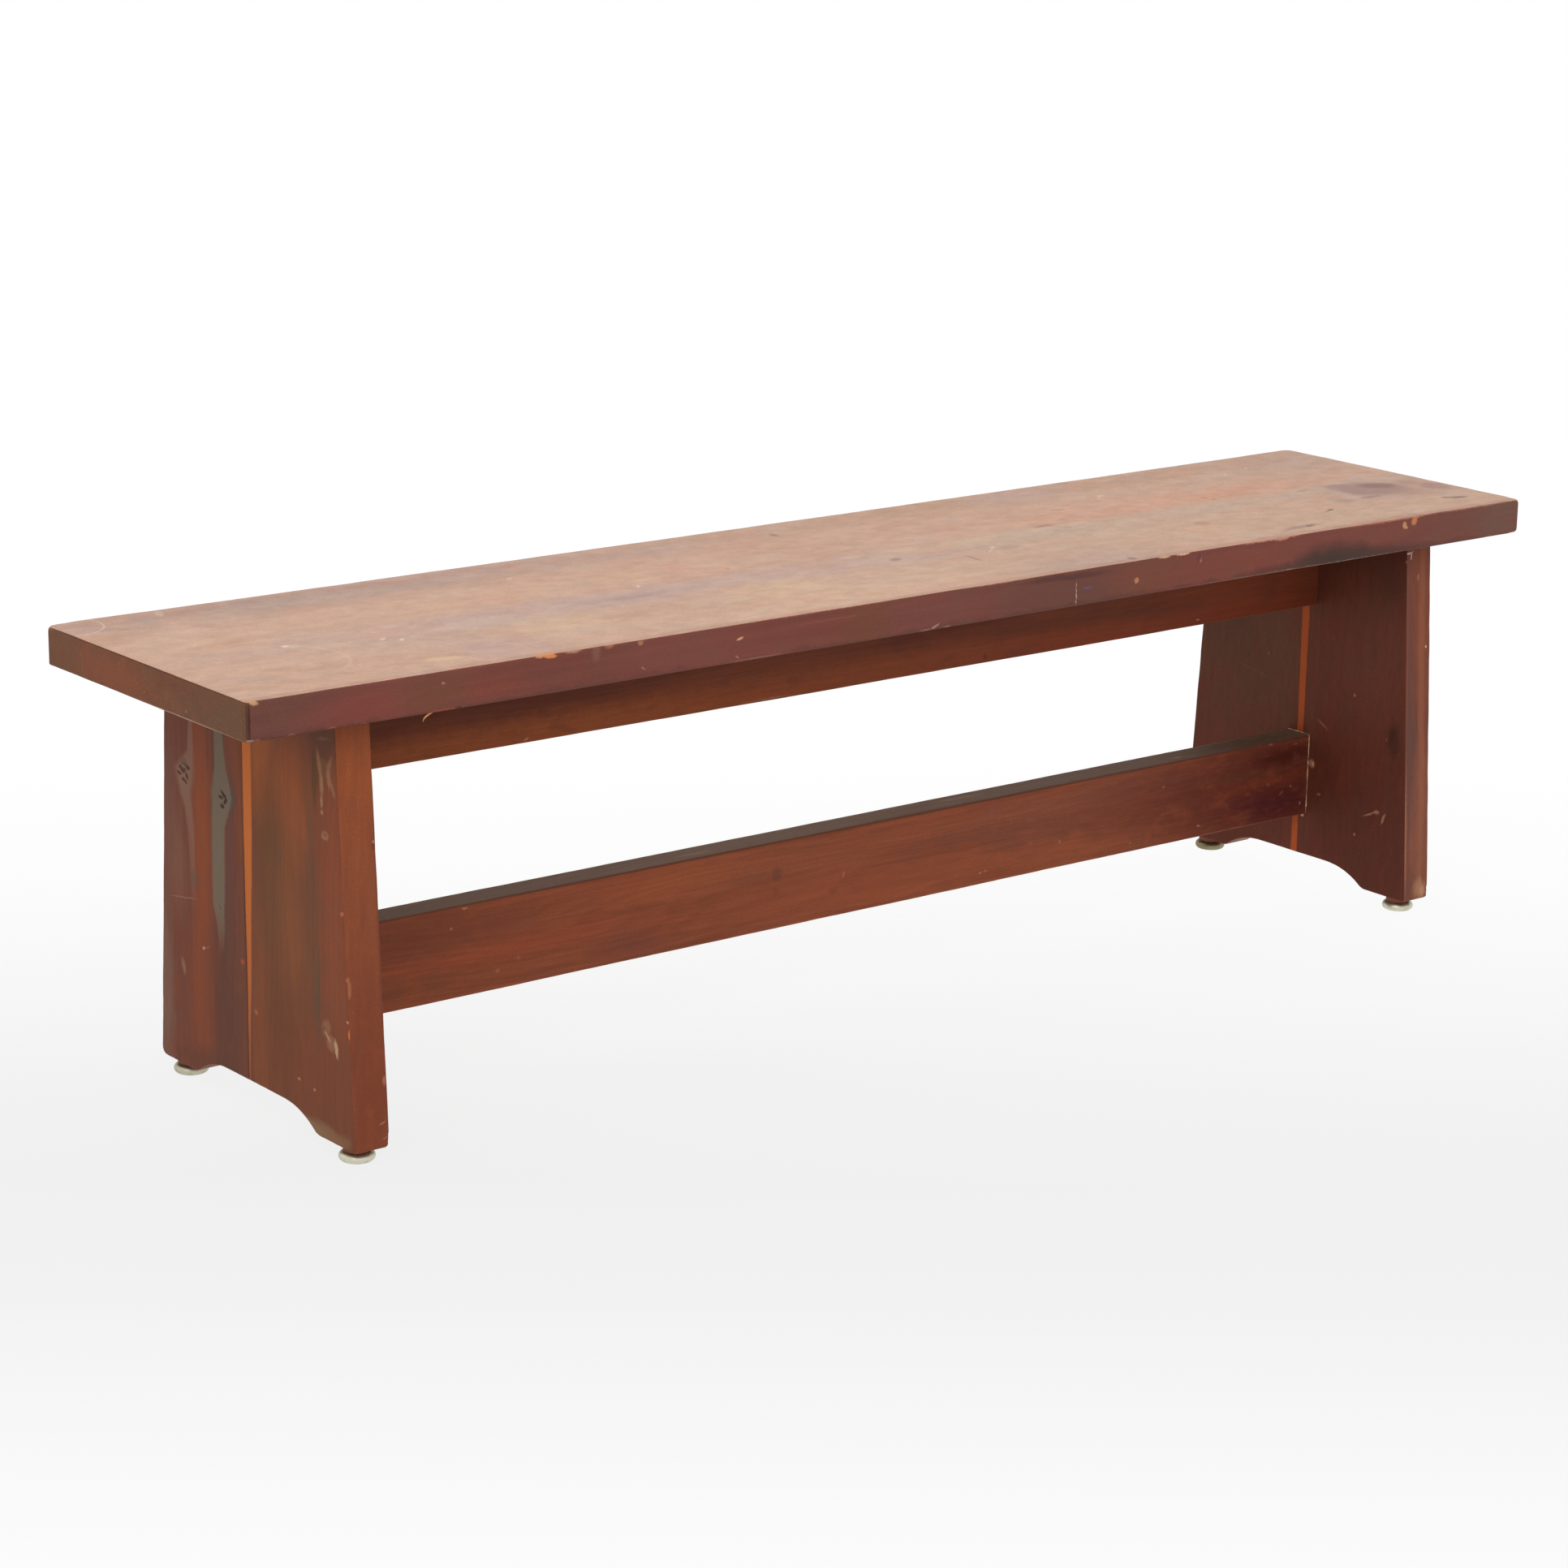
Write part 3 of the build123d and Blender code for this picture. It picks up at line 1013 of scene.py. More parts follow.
@dataclass
class Sizes:
    """Places that several sub-assemblies share, read from the CAD nodes' boxes."""

    half_length: float
    half_width: float
    top: float
    underside: float
    inner_x: float
    outer_x: float
    foot: float
    front_sag: float = 0.6
    back_sag: float = 1.3

    @classmethod
    def measured(cls) -> "Sizes":
        """Reads the sizes from the frame."""
        seat_low, seat_high = (np.array(corner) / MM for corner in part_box("seat_front_board"))
        panel_low, panel_high = (np.array(corner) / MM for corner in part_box("right_panel_front_board"))
        return cls(half_length=seat_high[0], half_width=-seat_low[1], top=seat_high[2],
                   underside=seat_low[2], inner_x=panel_low[0], outer_x=panel_high[0], foot=panel_low[2])

    def sagged(self, x: np.ndarray, y: np.ndarray) -> np.ndarray:
        """How far the seat has sunk at each place on it."""
        share = np.clip(0.5 + y / (2 * self.half_width), 0, 1)
        deepest = self.front_sag + (self.back_sag - self.front_sag) * share
        return deepest * (1 - (x / self.half_length) ** 2)

    def sunk(self, points: np.ndarray) -> np.ndarray:
        """Lowers points by the seat's sag where they are."""
        points[:, 2] -= self.sagged(points[:, 0], points[:, 1])
        return points


@dataclass
class Seat:
    """The two seat planks: stained edges, and a top worn to a tan, whose glancing sheen is painted into its
    colour as a pale haze.
    """

    sizes: Sizes
    top_arris: float = 2.5
    bottom_arris: float = 1.5
    left_radii: tuple[float, float] = (5.0, 6.5)  # the front and the back corner of the left end
    right_radii: tuple[float, float] = (4.0, 11.0)
    left: float = -813.0  # where the faces' own coordinates start
    back: float = 182.0
    level: float = 463.0
    under_spared: float = 1.2
    splinter_along: float = 182.0
    knocks: tuple[tuple[Point, float, float], ...] = (  # place, reach and depth
        ((-817, -182, 462), 9.0, 3.0), ((-820, 183, 463), 30.0, 3.0), ((820, -183, 463), 20.0, 3.0),
        ((820, -183, 425), 15.0, 2.5), ((-498, -183, 463), 7.0, 1.6), ((240, -183, 442), 4.5, 0.6),
        ((636, -183, 456), 5.0, 1.0), ((652, -183, 458), 7.0, 1.4), ((425, -183, 463), 30.0, 1.0),
        ((560, -183, 463), 16.0, 0.7), ((-773, -183, 425), 5.0, 0.8), ((-731, -183, 425), 4.0, 0.8),
        ((-698, -183, 425), 5.0, 0.7), ((-80, -183, 425), 6.0, 0.8), ((-388, -183, 463), 4.0, 0.8),
    )

    def __post_init__(self) -> None:
        """Lays out the top, the long edges and the ends."""
        self.wide_sheet = Sheet(0, self.left, 1, 1, self.back, -1)
        self.edge_sheet = Sheet(0, self.left, 1, 2, self.level, -1)
        self.end_sheet = Sheet(1, self.back, -1, 2, self.level, -1)

    def top_edges(self, recipe: Recipe, where: Where) -> Signal:
        """How far a point of the top lies in from the seat's outline."""
        return (self.sizes.half_length - abs(where[0])).least(self.sizes.half_width - abs(where[1]))

    def side_edges(self, recipe: Recipe, where: Where) -> Signal:
        """How far a point of a side lies below the top or above the underside, which is rubbed less."""
        return (self.sizes.top - where[2]).least(where[2] - self.sizes.underside + self.under_spared)

    def top_face(self) -> StainedWood:
        """The top: worn stain under a pale haze of painted sheen, with water rings and small marks of use."""
        chalk, lilac, grey, salmon = 0xEEDED0, 0xC2A69D, 0xB29D8F, 0xCEA48B
        sand, soot, umber = 0xD5B69A, 0x7A6258, 0xA07662
        fields = patches(
            (400, 180, 1900, 40, 0xCBA994, 0.6), (330, 34, 760, 78, 0xBA9A8C, 0.85),
            (210, 22, 420, 34, 0xB08C7E, 0.6), (1150, 32, 900, 60, 0xBA967E, 0.8),
            (1560, 60, 180, 140, 0xBC9C8A), (245, 40, 150, 42, grey, 0.8), (370, 45, 150, 22, grey),
            (77, 41, 34, 22, 0xB09C8E), (530, 52, 80, 22, 0xBA9E90), (668, 45, 110, 50, 0xBE9E93, 0.6),
            (1180, 38, 130, 60, lilac), (785, 105, 110, 160, 0xC59F8A, 0.8),
            (450, 130, 640, 96, 0xCEAA92, 0.8), (75, 130, 110, 70, 0xCCAC94),
            (82, 98, 44, 66, 0xCFAE9E, 0.7, 20), (12, 90, 40, 40, 0xC19A80),
            (128, 92, 34, 34, 0xC8A69A, 0.5), (640, 128, 46, 34, 0xD6A38F, 0.6),
            (1000, 110, 480, 110, 0xCAA48D, 0.8), (990, 130, 44, 26, 0xCB9C8A, 0.6),
            (1290, 134, 320, 76, salmon, 0.85), (1400, 150, 170, 60, 0xCC9B81, 0.55),
            (1540, 150, 150, 60, 0xC4A08C, 0.6), (480, 208, 760, 62, lilac, 0.85),
            (355, 225, 150, 40, 0xC8B2A6, 0.6), (522, 211, 62, 26, 0xB49A92, 0.85),
            (1000, 198, 320, 34, 0xCCB296, 0.8), (885, 225, 170, 44, 0xC3A79A, 0.8),
            (1080, 240, 160, 110, 0xC5AB96), (300, 315, 84, 84, 0xC3A49B, 0.85),
            (225, 262, 110, 60, 0xC5A696, 0.5), (110, 318, 170, 70, 0xC7A38C, 0.75),
            (160, 235, 60, 70, 0xCBAA94, 0.5), (120, 290, 34, 20, 0xBA9C86, 0.6),
            (405, 280, 130, 80, 0xD3B499, 0.8), (472, 272, 46, 34, 0xC09E8A, 0.6),
            (670, 275, 130, 90, sand, 0.85), (700, 335, 280, 70, 0xD4B399, 0.75),
            (845, 285, 130, 70, 0xD0B299, 0.75), (800, 222, 150, 40, 0xC6AA9C, 0.6),
            (1025, 335, 160, 76, 0xBCA092, 0.85), (1250, 290, 330, 130, 0xCAA990, 0.8),
            (1470, 325, 260, 76, 0xC6A78D), (1555, 232, 176, 116, 0xBA9C8E, 0.8),
            Streak(((1040, 152, 52, 0.0), (1100, 152, 52, 0.4), (1290, 152, 52, 0.55), (1420, 152, 52, 0.5),
                    (1520, 152, 52, 0.3), (1640, 152, 52, 0.15)), 0xD09E84, False, 0.2, STRAIGHT),
            Streak(((960, 204, 52, 0.0), (1080, 204, 52, 0.4), (1300, 204, 52, 0.45), (1500, 204, 52, 0.3),
                    (1640, 204, 52, 0.1)), 0xC2AB98, False, 0.2, STRAIGHT),
            Streak(((1060, 361, 8, 0.0), (1180, 361, 9, 0.3), (1330, 361, 10, 0.45), (1560, 361, 9, 0.4),
                    (1640, 361, 8, 0.2)), 0xBA8A76, False, 1.2, CLOUDED),
            Streak(((0, 360, 9, 0.4), (320, 361, 8, 0.35), (700, 361, 9, 0.25), (1060, 360, 9, 0.4)),
                   0xB28676, False, 0.9),
        )
        traces = marks(
            Ring(1, 17, 39, 1.4, 0xE2D2C2, 0.65, 30), Ring(97, 252, 64, 3.4, 0xDCC4B0, 0.35, 0),
            (133, 202, 7, 6, chalk, 0.95, 0, 0.8), (136, 206, 16, 12, 0xDCC6B4, 0.4, 0, 1.2),
            (223, 228, 11, 4, chalk, 0.6, -35), (237, 239, 10, 4, chalk, 0.6, -50),
            (232, 200, 7, 3, 0xE0CABA, 0.5, -20), (471, 72, 6, 4.5, 0xE8D4C4, 0.75, 0, 0.9),
            (556, 175, 8, 4, chalk, 0.6, -60, 0.9), (973, 230, 6, 5, 0xE6D4BC, 0.65, 0, 0.9),
            (962, 240, 30, 2.2, 0xE2CEB0, 0.6, 139), (1256, 86, 12, 6, 0xE2CAB2, 0.6, -20),
            (1248, 92, 26, 3, 0xDCC0A6, 0.5, -50), (225, 326, 40, 13, 0xDBBE96, 0.75, 0, 0.6, CLOUDED),
            (66, 152, 9, 4, 0xDEC6B2, 0.5, -40), (105, 16, 8, 26, 0xCEBEAE, 0.5, 20),
            (45, 57, 12, 9, 0xA08878, 0.4, 0, 1.1), (70, 63, 40, 3, 0xB09686, 0.3, -60),
            (520, 212, 44, 10, 0xA0867E, 0.35, 0, 1, STREAKED), (279, 190, 5, 5, umber, 0.4, 0, 0.6),
            (823, 50, 8, 14, soot, 0.55, 10), (850, 220, 16, 10, 0x8A7064, 0.6, -30),
            (921, 261, 4, 28, 0x8E706A, 0.6, 5), (985, 240, 30, 16, 0xAA9080, 0.5, 0, 1.2),
            (1092, 176, 26, 9, 0x966A5C, 0.6, 0, 0.9, STREAKED), (1108, 197, 12, 7, 0x9E8C78, 0.5),
            (1131, 160, 16, 4, 0xA87866, 0.4, -10), (1163, 117, 18, 9, 0xAA8474, 0.5, 10, 1.1),
            (1192, 145, 12, 4, 0xA47A68, 0.4, 30), (1343, 160, 10, 5, 0x96604C, 0.55, 20),
            (1346, 172, 6, 4, 0x96604C, 0.6), (1243, 262, 20, 15, 0xB28474, 0.55, -20, 1, CLOUDED),
            (1412, 289, 9, 6, 0x5C4638, 0.85, -15, 0.6), (1403, 293, 12, 4, 0x846854, 0.5, -20),
            (1318, 337, 56, 11, 0x967C74, 0.65, -4, 0.9, STREAKED),
            (1330, 339, 14, 6, 0x705450, 0.7, -20, 0.9), (1288, 345, 24, 4, 0xA6867A, 0.5, -14),
            (1055, 355, 10, 10, 0x866458), (1583, 318, 22, 10, 0x705A52, 0.7, 22, 0.8, STREAKED),
            (1570, 312, 10, 6, 0x604842, 0.7, 30, 0.9), (1535, 228, 92, 66, 0x9C7A71, 0.8, 10, 0.7, CLOUDED),
            (1556, 218, 44, 30, 0x88665F, 0.7, 20, 0.6, CLOUDED),
            (1515, 196, 34, 20, 0xA07E7A, 0.7, -10, 0.6, CLOUDED),
            (1503, 262, 28, 11, 0x966E66, 0.65, 0, 0.6, CLOUDED),
            (1611, 256, 34, 40, 0xA07C78, 0.7, 0, 0.8, CLOUDED),
            (1600, 222, 24, 26, 0xA88A82, 0.6, 0, 1, CLOUDED),
            (1560, 262, 56, 30, 0xAA8C7C, 0.6, 0, 1, CLOUDED),
            (1488, 232, 18, 34, 0xD0B8A8, 0.4, 10, 1.3, CLOUDED),
            (1461, 263, 30, 18, 0xA09086, 0.65, 0, 1, CLOUDED), (1465, 192, 30, 6, 0x9E8270, 0.5, -10),
            (1335, 62, 12, 3, 0xDCC4B0, 0.3, -40), (1506, 59, 16, 3, 0xDAC4B0, 0.35, -40),
            (1462, 70, 12, 3, 0xDEC8B2, 0.4, -40), (1325, 20, 40, 3, 0xD8C0AC, 0.35, -10),
            (680, 158, 6, 6, 0xA07A60, 0.5, 0, 0.6), (1, 359, 10, 5, 0xCCA078, 0.7, 0, 0.7),
            (315, 362, 26, 6, 0xD89668, 0.75, 0, 0.6), (816, 185, 26, 10, 0xD8BCB0, 0.6, 0, 1, STREAKED),
            (1350, 178, 500, 1.6, 0xD6AC8A, 0.4, 0, 1.2),
        )
        timber = Timber(0, (-150.0, 260.0), seed=1.0, ring_contrast=0.012, fibre_contrast=0.03,
                        band_width=30.0)
        # painted sheen: the pale tones hold the top's glancing reflection as well as its worn stain
        return StainedWood("seat_top_worn_with_painted_sheen", timber, self.wide_sheet,
                           0xCDAB95, 0xC6A38E, 0xCEA088, 0xC4AA9E,
                           fields=fields, traces=traces, cloud_size=34.0, cloud_depth=0.3, tint=0.4,
                           mottle_size=(26.0, 18.0),
                           dust=0xE2CEBE, dust_strength=0.3, roughness=0.52, specular=0.16,
                           relief=0.25, balance=(0.84, 0.78, 0.74),
                           wear=Wear(self.top_edges, 0xC48C74, 0xDEAA82, 1.8, 0.3))

    def front_face(self) -> StainedWood:
        """The front edge: red-brown stain with a dark burn-like patch, knocks and scratches, and painted
        shade on its rounded left corner.
        """
        brown, red, bare, pale = 0x704838, 0x7E4036, 0xCE8654, 0xBE9684
        fields = patches(
            (40, 20, 130, 60, 0x64443C), (110, 24, 120, 30, 0x80443C, 0.6), (190, 18, 70, 34, brown, 0.8),
            (262, 22, 60, 20, 0x804236, 0.4), (340, 20, 120, 50, 0x704438, 0.4),
            (470, 20, 120, 60, 0x784A42, 0.6), (694, 20, 60, 60, 0x704834),
            (800, 20, 160, 60, 0x744A42, 0.6), (960, 22, 200, 60, 0x68463E, 0.8),
            (1060, 20, 80, 50, 0x764A3A, 0.6), (1180, 22, 180, 30, 0x7C463A),
            (1400, 14, 170, 26, 0x7A4A40, 0.6), (1530, 16, 130, 50, 0x744C42),
            (1605, 16, 80, 50, 0x705448, 0.9),
        )
        traces = marks(
            Streak(((1180, 38, 6, 0.3), (1250, 38, 14, 0.5), (1290, 38, 24, 0.75), (1317, 38, 38, 0.92),
                    (1340, 38, 38, 0.95), (1365, 38, 32, 0.9), (1400, 38, 22, 0.8), (1450, 38, 16, 0.6),
                    (1510, 38, 10, 0.35), (1600, 38, 6, 0.0)), 0x443630, False, 1.3, CLOUDED),
            (957, 7, 104, 6, 0x523632, 0.6, 1, 1, STREAKED), (1, 1.5, 11, 5, 0xC6A070, 0.8, 20, 0.7),
            # painted shade: the rounded left corner darkened where the light would make it a lighter line,
            # with a dark line along it
            (-9, 19, 12, 60, 0x543A2E, 0.95, 0, 0.4, STRAIGHT),
            (-2.6, 20, 2.2, 44, 0x3E2620, 0.75, 0, 0.9, STRAIGHT), (-2, 37, 7, 3, 0xAA9682, 0.7, 0, 0.9),
            (317, 2.2, 16, 5, bare, 0.95, 10, 0.5, CLEAN, 0.3), (306, 1.5, 8, 3, 0xD2966E, 0.8, 0, 0.8),
            (370, 6, 9, 15, 0x927062, 0.3, 0, 1.2), (344, 1.5, 16, 3, 0xC49680, 0.6),
            (385, 2, 10, 4, 0xB0785C, 0.6), (421, 4, 6, 4, 0xB07C60, 0.7, 0, 0.9),
            (200, 12, 4, 2, 0xB07E62, 0.6, 15), (424, 29, 5, 1.8, pale, 0.35, 45),
            (40, 37, 8, 2.4, 0xB47A62, 0.6), (82, 37, 8, 2.2, 0xB07C64, 0.6), (5, 37, 7, 2.4, 0xAA7862, 0.5),
            (115, 37.4, 6, 2, 0xAA7862, 0.45), (200, 37, 34, 2.4, 0x965038, 0.6),
            (216, 37.5, 8, 3, 0x462820, 0.7, 0, 0.9),
            (538, 15.5, 8, 2.2, 0xCEA076, 0.85, -18, 0.9, CLEAN, 0.1), (535, 33, 5, 2, pale, 0.4, 40),
            (560, 37, 60, 1.8, 0xA06E60, 0.4), (783, 35, 10, 2.2, 0xBE9C90, 0.55, -22),
            (770, 37.4, 14, 1.8, 0xB48276, 0.45), (798, 37.5, 8, 1.8, pale, 0.4),
            (650, 11, 80, 1.2, 0x8C5C52, 0.4), (969.5, 25, 1, 24, 0xC8AA9E, 0.3),
            (969.5, 16, 1.3, 4, 0xD2B8AA, 0.4, 0, 0.9), (969.5, 22, 1.4, 4, 0xD2B8AA, 0.4, 0, 0.9),
            (969.8, 28, 1.5, 6, 0xD2B8AA, 0.45, 0, 0.9), (969.8, 34, 1.3, 3, 0xD2B8AA, 0.4, 0, 0.9),
            (983.5, 21, 9, 3.4, 0x5E5470, 0.75), (989, 21, 6, 2, 0x60587A, 0.5, 0, 0.9),
            (1053, 22, 6, 6, 0xBA805C, 0.85, 20, 0.8, CLEAN, 0.1), (1141, 8, 5, 9, 0x603E44, 0.7, 10, 0.9),
            (1144, 11, 2, 6, 0xAA8686, 0.5, 20), (1092, 1.6, 14, 3, 0xD8B08C, 0.8, 0, 0.9),
            (1118, 1.6, 18, 3, 0xE2BA96, 0.8, 0, 0.9), (1247, 1.4, 74, 2.4, 0xC48A76),
            (1262, 2.6, 18, 3, 0xC4886C), (1449, 9, 6, 8, 0xC88E68, 0.85, -20, 0.7, CLEAN, 0.4),
            (1452, 12, 4, 2.4, 0xD09E7A, 0.6, 0, 0.8), (1464, 6, 8, 9, 0xC47E54, 0.85, 30, 0.7, CLEAN, 0.4),
            (1468, 2, 8, 4, 0xB87250, 0.7, 0, 0.8), (1430, 1.4, 120, 2.4, 0xBE806C, 0.6),
            (1300, 37.6, 330, 1.3, 0x96887E, 0.4), (1275, 37, 10, 1.8, 0xA68C80, 0.35),
            (1560, 1.2, 100, 2, 0xB48474, 0.5), (600, 1, 120, 1.8, 0xA87464, 0.45),
            (862, 1, 60, 2.2, 0xBA8870, 0.6), (680, 1, 110, 1.8, 0xAA7864, 0.4),
            (60, 37.2, 160, 2, 0x5A3028, 0.5),
        )
        timber = Timber(0, (900.0, 140.0), seed=2.0, ring_contrast=0.03, fibre_contrast=0.07, band_width=12.0)
        return StainedWood("seat_front_edge_stain_and_shade", timber, self.edge_sheet,
                           0x79473E, 0x70423A, red, brown, fields=fields, traces=traces,
                           cloud_size=26.0, cloud_depth=0.05, tint=0.3, dust=pale, dust_strength=0.2,
                           balance=(0.9, 0.86, 0.85),
                           wear=Wear(self.side_edges, 0x966050, 0xC88C6E, 1.3, 0.35, 40.0))

    def end_face(self) -> StainedWood:
        """The left end: end grain that took more stain, dark along its top, dusty along its bottom."""
        fields = patches(
            (120, 22, 150, 34, 0x844E38), (30, 20, 60, 50, 0x6C4E3E, 0.6), (330, 20, 120, 50, 0x684E3E, 0.8),
            (260, 12, 100, 20, 0x6C483A, 0.6),
        )
        traces = marks(
            (182, 1, 400, 2.4, 0x462E26, 0.5, 0, 1, STRAIGHT),
            (270, 37.5, 170, 2.4, 0xBAACA0, 0.55, 0, 1, STRAIGHT),
            (90, 37.5, 120, 1.6, 0x968070, 0.35, 0, 1, STRAIGHT), (262, 30, 5, 3, 0x9A7C6C, 0.35, 0, 1.1),
            (186, 27, 3, 2, 0xA0806E, 0.35), (140, 10, 3, 2, 0x967664, 0.3), (4, 2, 14, 5, 0x966C5A, 0.5),
        )
        timber = Timber(0, (-60.0, 300.0), seed=2.6, ring_contrast=0.06, fibre_contrast=0.05, ring_gap=4.5)
        return StainedWood("seat_end_grain_stain", timber, self.end_sheet,
                           0x78503E, 0x6C4839, 0x804C38, 0x684E42, fields=fields,
                           traces=traces, cloud_size=22.0, cloud_depth=0.05, roughness=0.55,
                           balance=(0.88, 0.8, 0.68),
                           wear=Wear(self.side_edges, 0x8C604E, 0xBE8C70, 1.2, 0.3, 30.0))

    def plain_face(self, name: str, sheet: Sheet, seed: float) -> StainedWood:
        """A side that the photograph doesn't show: the same stain, with a few scuffs.

        Args:
            name: the material's name.
            sheet: the face's coordinates.
            seed: a number that sets its streaks apart.

        Returns:
            The finish.
        """
        traces = marks(*((160 + 290 * k + 120 * math.sin(2.4 * k + seed), 6 + (k * 11) % 26, 5 + (k * 7) % 12,
                          2 + k % 3, 0xAA7A62, 0.25 + 0.08 * (k % 4), 25 * math.sin(3 * k + seed))
                         for k in range(6)))
        return StainedWood(name, Timber(0, (900.0, 140.0), seed=seed), sheet, 0x79473A, 0x683C32,
                           0x804634, 0x68463C, traces=traces, balance=(0.92, 0.86, 0.8),
                           wear=Wear(self.side_edges, 0x966050, 0xC88C6E, 1.3, 0.35, 40.0))

    def build(self) -> None:
        """Builds both planks."""
        finishes = [self.end_face(),
                    self.plain_face("seat_far_end_stain", self.end_sheet, 3.1),
                    self.front_face(),
                    self.plain_face("seat_back_edge_stain", self.edge_sheet, 3.7),
                    self.plain_face("seat_underside_stain", self.wide_sheet, 4.3),
                    self.top_face()]
        faces = [finish.material() for finish in finishes]
        chips = [Chip(*row) for row in self.knocks]
        for node, glued_end, outer_end in (("seat_front_board", 1, 0), ("seat_back_board", 0, 1)):
            plank = Plank(node + "_worn", (node,), "seat_wood", 2, (self.bottom_arris, self.top_arris),
                          glued=((1, glued_end),),
                          corners={(0, outer_end): self.left_radii[outer_end],
                                   (1, outer_end): self.right_radii[outer_end]},
                          chips=tuple(chip for chip in chips if (chip.place[1] > 0) == (outer_end == 1)),
                          cell=(8.0, 9.0, 6.0), seam_groove=0.04, seed=21, shape=self.sizes.sunk)
            plank.build(faces)
        self.add_splinter()

    def add_splinter(self) -> None:
        """Adds the torn fibre that hangs from the front edge's lower arris."""
        x, y = self.left + self.splinter_along, -self.sizes.half_width + 1.0
        z = self.sizes.underside - 1.6
        knots = np.array([(x + 9, y + 0.5, z + 2.2), (x + 4, y + 0.1, z + 1.0), (x, y, z - 0.7),
                          (x - 2.5, y, z - 2.8), (x - 3.5, y + 0.3, z - 5.6)])
        way = np.linspace(0, len(knots) - 1, 25)
        path = np.stack([np.interp(way, np.arange(len(knots)), knots[:, axis]) for axis in range(3)], axis=1)
        path[1:-1] = (path[:-2] + 2 * path[1:-1] + path[2:]) / 4
        radii = np.interp(way, [0, 1, 2.4, 4], [0.15, 0.75, 0.8, 0.18])
        made = tube("seat_splinter", path, radii, SplitFibre().material())
        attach(made, BODY)
        log.info("seat_splinter: one torn fibre")


